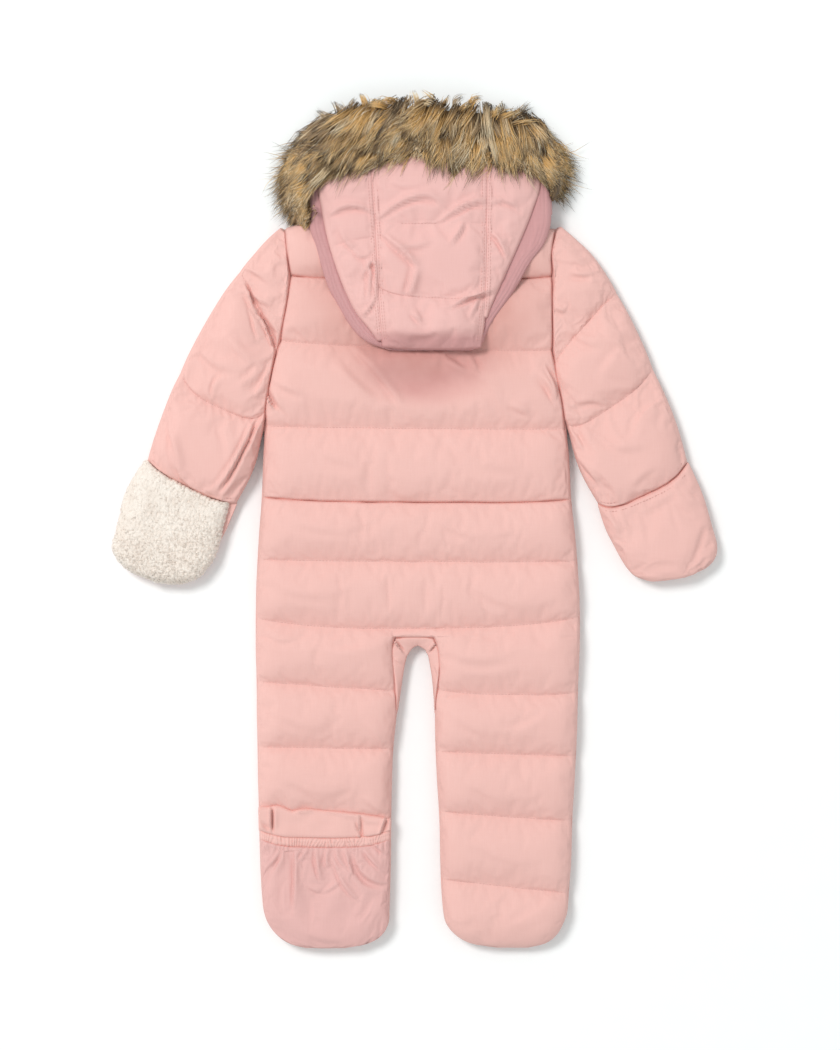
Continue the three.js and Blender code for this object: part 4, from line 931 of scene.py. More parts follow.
def sleeve(side, seed):
    # the back as a quilted top, and the front under it as (1 - puff)^2 valleys
    g = sleeveGrid(side, sleeveLook["columns"], sleeveLook["spacing"])
    sinking = sink(g["fromInside"], g["innerShare"]) * sink(g["fromOutside"], 1)
    g["creases"] = creaseField(side + "Sleeve", g["x"], g["y"])
    g["top"] = quiltedTop(g, sinking, seed, sleeveLook["channel"], sleeveLook["rumple"])
    g["bottom"] = levels["backBase"]
    paddedPiece(f"sleeve_{side}_back", g, pinkCloth, "shell", sleeveLook["surplus"])
    stitchRows(g)
    hem = np.argmin(np.abs(g["quilt"][:, 0] - 2.95))
    stitchAlong(gridLine(g, hem)[3:-3])
    g = sleeveGrid(side, 26, 5.0)
    rounding = sink(g["fromInside"], g["innerShare"]) * sink(g["fromOutside"], 1)
    low = levels["frontTop"] - levels["edgeWall"]
    valley = 4.0 * (1 - puff(g["quilt"])) ** 2 * smoothstep(rounding, 0.6, 0.95)
    g["bottom"] = np.minimum(low * (1 - rounding) + valley, low)
    g["top"] = np.full_like(g["x"], levels["frontTop"])
    paddedPiece(f"sleeve_{side}_front", g, pinkCloth, "shell")


sleeve("left", 41)
sleeve("right", 51)
print("sleeves made")

# Mittens
mittenLook = {"rise": 11.0, "fleeceRise": 12.0, "length": 108.0, "fill": 0.5, "surplus": 0.03}


def roundRows(table, count):
    # Catmull-Rom curves through a table's rows, count rows to each stretch
    rows = np.array(table, float)
    padded = np.concatenate([rows[:1], rows, rows[-1:]])
    s = np.linspace(0, len(rows) - 1, count * (len(rows) - 1) + 1)
    i = np.minimum(s.astype(int), len(rows) - 2)
    t = (s - i)[:, None]
    a, b, c, d = padded[i], padded[i + 1], padded[i + 2], padded[i + 3]
    return b + 0.5 * t * (c - a + t * (2 * a - 5 * b + 4 * c - d + t * (3 * (b - c) + d - a)))


def mittenGrid(table, columns, count, inset):
    # rows from the sleeve's end to the tip, straight between their ends and hung by dip (1 - (2u - 1)^4)
    rows = roundRows(table, count)
    sign = math.copysign(1, table[0][0])
    innerX, innerY, outerX, outerY, dip = [rows[:, k:k + 1] for k in range(5)]
    innerX, innerY, outerY = innerX + sign * inset, innerY - levels["seamGap"], outerY - levels["seamGap"]
    u = np.linspace(0, 1, columns + 1)[None, :]
    width = np.hypot(outerX - innerX, outerY - innerY)
    g = {
        "u": u + 0 * innerX,
        "x": innerX + (outerX - innerX) * u,
        "y": innerY + (outerY - innerY) * u - dip * (1 - (2 * u - 1) ** 4),
        "fromInside": u * width, "fromOutside": (1 - u) * width,
        "fromTip": mittenLook["length"] * np.linspace(1, 0, len(rows))[:, None] + 0 * u,
    }
    g["rounding"] = sink(g["fromInside"], 1) * sink(g["fromOutside"], 1) * sink(g["fromTip"], 1)
    return g


def mittenPalm(name, table):
    # flat on top, its underside low (1 - rounding)
    g = mittenGrid(table, 24, 5, 0)
    low = levels["frontTop"] - levels["edgeWall"]
    g["bottom"] = low * (1 - g["rounding"])
    g["top"] = np.full_like(g["x"], levels["frontTop"])
    paddedPiece(name, g, pinkCloth, "shell")


def mittenBack():
    # a level top times the rounding, fuller away from the cuff's seam
    g = mittenGrid(rightMitten, 44, 9, 0)
    below = mittenLook["length"] - g["fromTip"]
    seamPuff = smoothstep(below, 0, 16)
    pucker = softNoise(g["u"] * 22, g["fromTip"] / 30, 71) * np.exp(-below / 9)
    slow = softNoise(g["x"] / 30, g["y"] / 30, 72)
    rough = creaseField("rightMitten", g["x"], g["y"]) + 0.9 * pucker + 0.7 * slow
    g["top"] = (levels["backBase"] + levels["edgeWall"]
                + g["rounding"] * (mittenLook["rise"] * (0.68 + 0.32 * seamPuff) + rough))
    g["top"] = g["top"] - 3.5 * (1 - quarterRound(below, 2.5))
    g["bottom"] = levels["backBase"]
    g["held"] = np.where(below < 4, 1.0, 0.0)
    paddedPiece("mitten_right_back", g, pinkCloth, "shell", mittenLook["surplus"])
    stitchAlong(gridLine(g, 2)[2:-2])


mittenPalm("mitten_right_palm", rightMitten)
mittenPalm("mitten_left_palm", leftMitten)
mittenBack()


def strandMesh(name, points, radius, reach, shade, pale):
    # three-sided tubes round each strand's points, closed at the root and drawn to a point at the tip
    strands, rings, _ = points.shape
    tangent = np.gradient(points, axis=1)
    tangent /= np.linalg.norm(tangent, axis=2, keepdims=True)
    side = np.cross(tangent, [0.0, 0.0, 1.0])
    side /= np.maximum(np.linalg.norm(side, axis=2, keepdims=True), 1e-6)
    up = np.cross(side, tangent)
    corners = []
    for k in range(3):
        angle = 2 * math.pi * k / 3 + 0.5
        out = (math.cos(angle) * side + math.sin(angle) * up)[:, :-1]
        corners.append(points[:, :-1] + radius[:, :-1, None] * out)
    corners = np.stack(corners, 2)
    tips = points[:, -1:]
    per = (rings - 1) * 3 + 1
    vertices = np.concatenate([corners.reshape(strands, -1, 3), tips], 1).reshape(-1, 3)
    base = (np.arange(strands) * per)[:, None, None]
    ring = np.arange(rings - 2)[None, :, None] * 3
    k = np.arange(3)[None, None, :]
    a, b = base + ring + k, base + ring + (k + 1) % 3
    first = np.stack([a, b, b + 3], -1).reshape(-1, 3)
    second = np.stack([a, b + 3, a + 3], -1).reshape(-1, 3)
    last = base[:, :, 0] + (rings - 2) * 3
    corner = np.arange(3)
    tip = np.stack([last + corner, last + (corner + 1) % 3, base[:, :, 0] + per - 1 + 0 * corner], -1)
    tip = tip.reshape(-1, 3)
    cap = (base[:, :, 0] + corner[::-1]).reshape(-1, 3)
    faces = np.concatenate([first, second, tip, cap])
    obj = meshObject(name, vertices * mm, faces)
    along = np.repeat(np.linspace(0, 1, rings)[None, :-1], 3, axis=0).T.reshape(1, -1)
    along = np.concatenate([np.repeat(along, strands, 0), np.ones((strands, 1))], 1)
    for key, values in (("reach", along * reach[:, None]), ("shade", np.repeat(shade[:, None], per, 1)),
                        ("pale", np.repeat(pale[:, None], per, 1))):
        attribute = obj.data.attributes.new(key, "FLOAT", "POINT")
        attribute.data.foreach_set("value", values.astype(np.float32).ravel())
    return obj


# Pile fleece on the left mitten: knots of curled fibre on a jittered lattice
fleeceLook = {"knot": 3.3, "height": 1.9, "rimOut": 2.0, "columns": 150, "count": 25, "curls": 2600,
              "curl": 3.2, "thread": 0.26, "seed": 84}


def fleeceMaterial():
    material, tree, shader = newMaterial("pileFleece")
    coords = objectCoords(tree, (1, 1, 1))
    fine = noiseNode(tree, coords, 900, 3, 0.7)
    broad = noiseNode(tree, coords, 60, 2)
    mixed = mathNode(tree, "ADD", mathNode(tree, "MULTIPLY", fine, 0.7),
                     mathNode(tree, "MULTIPLY", broad, 0.3))
    colour = rampNode(tree, mixed, ((0.32, (0.74, 0.62, 0.54)), (0.68, (0.95, 0.87, 0.8))))
    tree.links.new(colour, shader.inputs["Base Color"])
    bumpNode(tree, shader, fine, 0.6, 0.0006)
    shader.inputs["Roughness"].default_value = 0.95
    shader.inputs["Sheen Weight"].default_value = 0.3
    shader.inputs["Sheen Tint"].default_value = (1, 0.95, 0.9, 1)
    return material


def knots(x, y, size, seed):
    # the nearest point of a jittered lattice: a round knot of height sqrt(1 - d^2) over it
    table = np.random.default_rng(seed).uniform(0, 1, (3, 128, 128))
    ix, iy = np.floor(x / size).astype(int), np.floor(y / size).astype(int)
    best = np.zeros_like(x)
    for dx in (-1, 0, 1):
        for dy in (-1, 0, 1):
            kx, ky = ix + dx, iy + dy
            jx, jy, grow = (table[k][kx % 128, ky % 128] for k in range(3))
            d = np.hypot(x - (kx + 0.15 + 0.7 * jx) * size, y - (ky + 0.15 + 0.7 * jy) * size)
            round_ = np.sqrt(np.clip(1 - (d / (size * 0.78)) ** 2, 0, 1))
            best = np.maximum(best, round_ * (0.6 + 0.4 * grow))
    return best


def mittenFleece():
    # a rounded pad covered in two sizes of knots, pushed outwards at its rim
    along = np.linspace(0, 1, fleeceLook["count"] * (len(leftMitten) - 1) + 1)[:, None]
    inset = np.interp(along, (0, 0.2, 0.42, 0.6, 0.8, 1), (10, 5, 0, -1, 2, 5))
    g = mittenGrid(leftMitten, fleeceLook["columns"], fleeceLook["count"], inset)
    edge = np.minimum(np.minimum(g["fromInside"], g["fromOutside"]), g["fromTip"])
    edge = np.minimum(edge, mittenLook["length"] - g["fromTip"])
    knot = knots(g["x"], g["y"], fleeceLook["knot"], 81)
    small = knots(g["x"] + 40, g["y"] + 10, fleeceLook["knot"] * 0.55, 82)
    centreX, centreY = g["x"].mean(), g["y"].mean()
    away = np.hypot(g["x"] - centreX, g["y"] - centreY)
    push = fleeceLook["rimOut"] * (knot + small - 0.9) * np.exp(-edge / 2.5)
    g["x"], g["y"] = g["x"] + push * (g["x"] - centreX) / away, g["y"] + push * (g["y"] - centreY) / away
    base = 5.5 + (mittenLook["fleeceRise"] - 3.5) * g["rounding"]
    cuff = sink(mittenLook["length"] - g["fromTip"] + 3, 0.35)
    base = base + softNoise(g["x"] / 24, g["y"] / 24, 83)
    g["top"] = (levels["backBase"] + levels["edgeWall"] + base * cuff
                + fleeceLook["height"] * (knot + 0.6 * small) - 2.4)
    g["bottom"] = levels["backBase"]
    material = fleeceMaterial()
    paddedPiece("mitten_left_fleece", g, material, "fleece")
    # short curls stand out of the pile: each turns by up to 4 radians over its length
    look, count = fleeceLook, fleeceLook["curls"]
    rng = np.random.default_rng(look["seed"])
    row = rng.integers(0, g["x"].shape[0], count)
    column = rng.integers(0, g["x"].shape[1], count)
    t = np.linspace(0, 1, 5)[None, :]
    turn = rng.uniform(0, 2 * np.pi, (count, 1)) + rng.uniform(-4, 4, (count, 1)) * t
    step = look["curl"] / 4 * rng.uniform(0.6, 1.1, (count, 1))
    root = gridLine(g, row, column)
    px = root[:, :1] + np.cumsum(step * np.cos(turn), 1)
    py = root[:, 1:2] + np.cumsum(step * np.sin(turn), 1)
    pz = root[:, 2:] - 0.4 + rng.uniform(0.6, 1.5, (count, 1)) * np.sin(np.pi * t)
    plain = np.zeros(count)
    radius = look["thread"] * (1 - 0.5 * t) + 0 * px
    curls = strandMesh("fleece_curls", np.stack([px, py, pz], -1), radius, plain + 1, plain, plain)
    finishPiece(curls, material, "fleece", "mitten_left_fleece")


mittenFleece()
print("mittens made")

# Hood
hoodLook = {"bottom": 30.5, "bed": 36.4, "wall": 3.0, "crown": 7.0, "puff": 2.0, "lip": 1.4, "edge": 12.0,
            "side": 0.55, "back": 26.0, "swell": 0.75, "swellAt": 218.0, "brim": 120.0, "atBrim": 0.55,
            "end": 188.5, "brimTop": 402.0, "fill": 0.4, "surplus": 0.03, "layer": 4.4,
            "step": 1.2, "band": 16.0}
hoodOutline = (
    (362, -118, 147), (340, -117.5, 148), (323, -116, 146.5), (303, -110, 139), (286, -105, 126),
    (258, -96, 110), (240, -87, 98), (220, -75, 84), (205, -63, 76), (196, -50, 72), (188.5, -28, 62),
)
hoodFolds = (
    (380, -104, 136), (362, -106, 134), (345, -103, 128), (326, -99.5, 121), (306, -95, 112.5),
    (277, -86, 99.5), (249, -75, 87), (228, -64, 78.5), (211, -50, 75), (197, -41, 72),
)
hoodSeams = (
    (400, -48.5, 77), (371, -47.5, 77.5), (338, -45.5, 77.3), (310, -43.5, 77), (255, -41, 76),
    (211, -37.5, 72.5), (190, -35, 70),
)
hoodLines = {
    "hood_left": ((0, 374, 396.8, -4.5), (1, 300, 310, -2), (2, 199, 200, 0)),
    "hood_centre": ((0, 397.3, 397.8, -3), (1, 326, 326, 0), (2, 257, 251, 9), (3, 193, 192, 2)),
    "hood_right": ((0, 397.5, 372, -6), (1, 310, 296, -2), (2, 225, 225, 0)),
}
hoodUnderLines = (
    (0, 359, 361, -40), (1, 348, 350, -20), (2, 338.8, 338.8, 0), (3, 338, 338, 0), (4, 322, 322, 0),
    (5, 300, 300, 0), (6, 260, 260, 0), (7, 222, 222, 0), (8, 205, 205, 0), (9, 197, 196, 0),
    (10, 189, 189, 0),
)


foldLeft, foldRight = follow(hoodFolds)
seamLeft, seamRight = follow(hoodSeams)


def hoodUnder():
    # low + (high - low) rounding, down to the floor beyond the neck
    g = panelGrid(hoodUnderLines, *follow(hoodOutline), 110, 3.0)
    g["y"] = np.maximum(g["y"], hoodLook["end"])
    edge = np.minimum(g["fromLeft"], g["fromRight"])
    sides = quarterRound(g["fromLeft"], hoodLook["edge"]) * quarterRound(g["fromRight"], hoodLook["edge"])
    rounding = sides * quarterRound(g["y"] - hoodLook["end"], hoodLook["edge"])
    low, high = hoodLook["bottom"] + hoodLook["lip"], hoodLook["bed"] - levels["seamGap"]
    # thin folds of the hidden layers show as steps along the sides
    uneven = edge + 1.2 * softNoise(g["y"] / 30, edge / 40, 92)
    layers = hoodLook["step"] * (uneven / hoodLook["layer"] % 1.0) * (edge < hoodLook["band"])
    # only the band outside the hood's panels may rise above their bed
    outside = np.maximum(foldLeft(g["y"]) - g["x"], g["x"] - foldRight(g["y"]))
    limit = high + 2.6 * smoothstep(outside, 0.3, 2.5) * (g["y"] < 378)
    g["top"] = np.minimum(low + (high - low) * rounding + layers * (rounding > 0.2), limit)
    beyond = g["quilt"] < 2.5
    g["bottom"] = np.where(beyond, 0.0, hoodLook["bottom"])
    # the folded layer wears the darker copy of the pink cloth, painted shade
    paddedPiece("hood_under", g, foldShadeCloth, "hood_shell")


def hoodHeight(g, seed):
    # a crown of quarter circles across, to the brim and to the back, with dips along both seams
    look, x, y = hoodLook, g["x"], g["y"]
    left, right = np.minimum(foldLeft(y), seamLeft(y)), np.maximum(foldRight(y), seamRight(y))
    aside = np.abs((2 * x - left - right) / (right - left))
    brim = look["atBrim"] + (1 - look["atBrim"]) * quarterRound(look["brimTop"] - y, look["brim"])
    crown = quarterRound(np.maximum(1 - aside, 0), look["side"]) * brim
    crown = crown * quarterRound(y - look["end"], look["back"])
    crown = crown * (1 + look["swell"] * bell(y, look["swellAt"], 26) * smoothstep(1 - aside, 0, 0.5))
    seams = np.minimum(np.abs(x - seamLeft(y)), np.abs(x - seamRight(y)))
    seamDip = 1.1 * bell(seams, 0, 3) + 0.5 * bell(seams, 6.5, 1.6)
    pucker = softNoise(x / 40, y / 4.4, seed) * np.exp(-seams / 8) * 0.9
    slow = softNoise(x / 26, y / 32, seed + 1) * 0.8
    rough = 1.45 * creaseField("hood", x, y) + pucker + slow - seamDip
    lift = look["crown"] + look["puff"] * puff(g["quilt"])
    soft = 0.3 + 0.7 * smoothstep(crown, 0.1, 0.6)
    return look["bed"] + look["wall"] + np.maximum(lift * crown + rough * soft, -1.6)


def hoodPanels():
    # three panels side by side under one crown, with two rows of stitches beside each seam
    gap = levels["pieceGap"]
    sides = {
        "hood_left": (foldLeft, lambda y: seamLeft(y) - gap, 26),
        "hood_centre": (seamLeft, seamRight, 56),
        "hood_right": (lambda y: seamRight(y) + gap, foldRight, 26),
    }
    for name, (leftX, rightX, columns) in sides.items():
        g = panelGrid(hoodLines[name], leftX, rightX, columns, 2.3)
        g["top"] = hoodHeight(g, 91)
        g["bottom"] = hoodLook["bed"]
        edge = np.minimum(g["fromLeft"], g["fromRight"])
        g["held"] = np.where(edge < 4.5, 1.0, 0.0)
        if name == "hood_centre":
            for quilt, low, high in ((1, -21, 26), (2, -42, 92)):
                row = np.argmin(np.abs(g["quilt"][:, 0] - quilt))
                within = (g["x"][row] > low) & (g["x"][row] < high)
                g["top"][row, within] -= 0.5
                g["held"][row, within] = 1.0
                stitchAlong(gridLine(g, row)[within])
        paddedPiece(name, g, hoodCloth, "hood_shell", hoodLook["surplus"])
        for wanted in (1.6, 4.2):
            for key, wide in (("fromLeft", name != "hood_left"), ("fromRight", name != "hood_right")):
                if wide:
                    k = np.argmin(np.abs(g[key] - wanted), axis=1)
                    stitchAlong(gridLine(g, np.arange(len(k)), k)[3:-3])


hoodUnder()
hoodPanels()
print("hood made")

# Left foot: inner panel, elastic opening and flap
footLook = {"lining": 3.7, "bandTop": -340.5, "bandHeight": 9.0, "bandRise": 7.0, "bandWave": 1.9,
            "flapWall": 1.6, "flapRise": 5.0, "belly": 2.5, "waves": 40, "surplus": 0.03}


def footLeft(y):
    return sideLeft(y) + 1


def footRight(y):
    return insideLeft(y) - 1


def leftFoot():
    # the lining with its slits, the elastic as a rolled band of waves, and the gathered flap
    top, height = footLook["bandTop"], footLook["bandHeight"]
    base = levels["backBase"]
    lines = ((0, -314.9, -327.4, -4), (1, top + 1.5, top + 1.5, 8), (1.02, top, top, 8), (2, -377, -377, 0),
             (3, -429, -429, 0), (4, -468, -468, 0))
    g = panelGrid(lines, footLeft, footRight, 90, 2.2, 0.0, bodyLook["waviness"])
    g["y"] += hemWave(g["x"]) * (1 - smoothstep(g["quilt"], 0, 0.7))
    cuts = creaseField("cuff", g["x"], g["y"])
    edge = 3.0 * (1 - quarterRound(g["quilt"] * 26, 2.2))
    roll = 1.5 * (1 - quarterRound((1 - g["quilt"]) * 26, 2.0))
    cuff = 7.6 + 1.2 * softNoise(g["x"] / 16, g["y"] / 11, 101) + cuts - edge - roll
    g["top"] = base + footLook["lining"] + np.where(g["quilt"] <= 1.001, np.maximum(cuff, 0.8), 0.0)
    g["bottom"] = base
    sheetPiece("foot_left_lining", g, pinkCloth)

    flapBase = base + footLook["lining"] + levels["seamGap"]
    lines = ((0, top + 2, top + 2, 8), (1, top - height, top - height, 9))
    g = panelGrid(lines, footLeft, footRight, 300, 0.9)
    over = np.clip(g["quilt"], 0, 1)
    roll = np.sqrt(np.maximum(1 - (2 * over - 1) ** 2, 0)) ** 0.7
    uneven = g["u"] * footLook["waves"] + 1.5 * softNoise(g["u"] * 13, over * 0.9, 111)
    wave = np.abs(np.sin(np.pi * uneven)) ** 0.8 * (0.7 + 0.5 * softNoise(g["u"] * 21, over * 1.5, 113))
    wave = wave + 0.35 * softNoise(g["u"] * 60, over * 3, 112)
    rise = footLook["bandRise"] - 2 + footLook["bandWave"] * wave
    rows = 0.9 * bell(over, 0.5, 0.06)
    ends = sink(np.minimum(g["fromLeft"], g["fromRight"]), 0.8)
    g["top"] = flapBase + footLook["flapWall"] + (rise * ends - rows) * roll
    g["bottom"] = flapBase
    sheetPiece("foot_left_elastic", g, pinkCloth)

    start = top - height - levels["seamGap"]
    lines = ((0, start, start, 9), (1, -429, -429, 0), (2, -468, -468, 0))
    g = panelGrid(lines, footLeft, footRight, 120, 1.5)
    below = g["y"][:1] - g["y"]
    uneven = g["u"] * footLook["waves"] * 0.5 + softNoise(g["u"] * 9, below / 60, 121)
    ruffle = np.abs(np.sin(np.pi * uneven))
    ruffle = ruffle * (2.0 + 1.2 * softNoise(g["u"] * 7, below / 90, 123)) * np.exp(-below / 15)
    sides = sink(g["fromLeft"], 1) * sink(g["fromRight"], 1) * sink(g["y"] - levels["footEnd"], 1)
    folds = creaseField("flap", g["x"], g["y"]) + ruffle + 0.8 * softNoise(g["x"] / 24, g["y"] / 30, 122)
    belly = footLook["flapRise"] + footLook["belly"] * np.sin(np.pi * np.clip(below / 108, 0, 1))
    g["top"] = flapBase + footLook["flapWall"] + np.maximum((belly + folds) * sides, 0.1)
    g["bottom"] = flapBase
    g["held"] = np.where(below < 1.5, 1.0, 0.0)
    # the flap wears the darker copy of the pink cloth, painted shade
    sheetPiece("foot_left_flap", g, flapShadeCloth,
               footLook["surplus"])


leftFoot()
print("left foot made")

# Faux fur: clumped strands over a plain crescent body
furLook = {"strands": 23500, "locks": 1000, "rings": 5, "pieces": 4, "root": 0.46, "crest": 46.0,
           "edge": 7.0, "lengthMin": 44.0, "lengthMax": 72.0, "spread": 2.5, "cream": 0.05, "pale": 0.12,
           "stray": 0.09, "seed": 7}
furStations = (
    (-119.5, 333, -128, 330), (-119.3, 346, -138, 346), (-119.3, 359, -145, 365), (-116.5, 369, -147, 386),
    (-107, 379, -142, 404), (-93, 388, -129, 422), (-72, 395.5, -103, 446), (-45, 399.5, -62, 461),
    (-15, 401.3, -20, 468), (18, 401.5, 20, 470), (52, 401.3, 62, 468), (84, 399.8, 104, 462),
    (110, 395, 137, 448), (130, 388.5, 154, 425), (143, 379, 162, 404), (149, 366, 163, 385),
    (149.3, 354, 159, 364),
)


def furMaterial(name, body=False):
    material, tree, shader = newMaterial(name)
    if body:
        fibre = noiseNode(tree, objectCoords(tree, (1, 0.2, 1)), 700, 3)
        colour = rampNode(tree, fibre, ((0.3, (0.05, 0.03, 0.018)), (0.7, (0.2, 0.13, 0.07))))
    else:
        reach, shade, pale = (attributeNode(tree, key) for key in ("reach", "shade", "pale"))
        # every ramp is dark near the root: painted shade deep in the coat. The dark tips are the fur's own
        # colour
        golden = rampNode(tree, reach, (
            (0.0, (0.09, 0.05, 0.02)), (0.2, (0.34, 0.19, 0.07)), (0.45, (0.80, 0.475, 0.175)),
            (0.64, (0.86, 0.61, 0.32)), (0.8, (0.24, 0.14, 0.08)), (0.92, (0.03, 0.02, 0.017))))
        grey = rampNode(tree, reach, (
            (0.0, (0.05, 0.033, 0.022)), (0.25, (0.13, 0.09, 0.058)), (0.48, (0.42, 0.29, 0.175)),
            (0.64, (0.16, 0.112, 0.078)), (0.78, (0.026, 0.018, 0.015))))
        creamy = rampNode(tree, reach, (
            (0.0, (0.30, 0.20, 0.11)), (0.3, (0.80, 0.62, 0.40)), (0.7, (0.95, 0.82, 0.60)),
            (0.92, (0.25, 0.16, 0.10))))
        colour = mixColour(tree, shade, golden, grey)
        colour = mixColour(tree, pale, colour, creamy)
    tree.links.new(colour, shader.inputs["Base Color"])
    shader.inputs["Roughness"].default_value = 0.6
    shader.inputs["Specular IOR Level"].default_value = 0.2
    return material


def furBody():
    # a crescent from the brim outwards, edge + rise times a quarter circle
    rows = roundRows(furStations, 4)
    innerX, innerY, outerX, outerY = [rows[:, k:k + 1] for k in range(4)]
    u = np.linspace(0, 0.72, 19)[None, :]
    g = {"x": innerX + (outerX - innerX) * u, "y": innerY + (outerY - innerY) * u}
    rise = furLook["crest"] - 8 - furLook["edge"]
    g["top"] = furLook["edge"] + rise * quarterRound(1 - u, 0.85) + 0 * g["x"]
    g["bottom"] = 0.0
    dark = furMaterial("furBacking", True)
    backing = finishPiece(closedMesh("fur_backing", [g]), dark, "fur", "fur_trim")
    # the brim's facing shows as a strip of the hood's cloth where the fringe parts
    backing.data.materials.append(hoodCloth)
    centre = np.empty(len(backing.data.polygons) * 3, np.float32)
    backing.data.polygons.foreach_get("center", centre)
    centre = centre.reshape(-1, 3) / mm
    facing = (centre[:, 1] < 411) & (np.abs(centre[:, 0] - 30) < 62) & (centre[:, 2] > 14)
    backing.data.polygons.foreach_set("material_index", facing.astype(np.int32))


# Outline of the coat round a point on the hood: degrees and radius. Then the fringe's lower edge: x, y
furMiddle = (8, 330)
furReach = ((0, 128), (10, 146), (23, 168), (32, 166), (45, 158), (60, 147), (70, 149), (79, 139),
            (101, 145), (115, 153), (125, 162), (141, 161), (160, 160), (172, 149), (182, 132), (200, 126))
furFringe = ((-170, 320), (-128, 322), (-120, 356), (-100, 368), (-75, 379), (-44, 391), (-30, 397),
             (-23, 407), (4, 407), (11, 388), (24, 370), (42, 375), (62, 381), (70, 394), (74, 404),
             (80, 404), (85, 382), (98, 379), (118, 386), (136, 384), (148, 371), (158, 362), (180, 354))
# Loose tufts: root x and y, heading in degrees, length, bend in radians
furTufts = (
    (-84, 446, 104, 24, 0.3), (-72, 450, 84, 21, -0.4), (-95, 440, 128, 25, 0.2), (-54, 452, 96, 24, 0.5),
    (-22, 455, 118, 30, 1.7), (-30, 452, 128, 32, 1.3), (-12, 457, 78, 18, -1.2), (4, 456, 60, 18, -1.6),
    (42, 452, 128, 24, -1.9), (60, 452, 100, 26, -1.4), (96, 438, 30, 46, 0.0), (104, 432, 18, 46, -0.1),
    (90, 440, 44, 34, -0.4), (112, 424, 4, 46, -0.3), (100, 441, 36, 40, 0.1), (140, 398, -28, 40, -0.2),
    (148, 384, -38, 34, -0.2), (152, 396, -30, 36, -0.1), (144, 408, -16, 42, -0.3),
    (150, 372, -52, 32, 0.1), (-128, 392, 214, 34, 0.2), (-132, 368, 226, 32, 0.2),
    (-128, 350, 236, 30, 0.1), (-112, 342, 246, 28, 0.0), (-108, 426, 160, 28, 0.3),
    (-118, 412, 178, 26, 0.4),
)


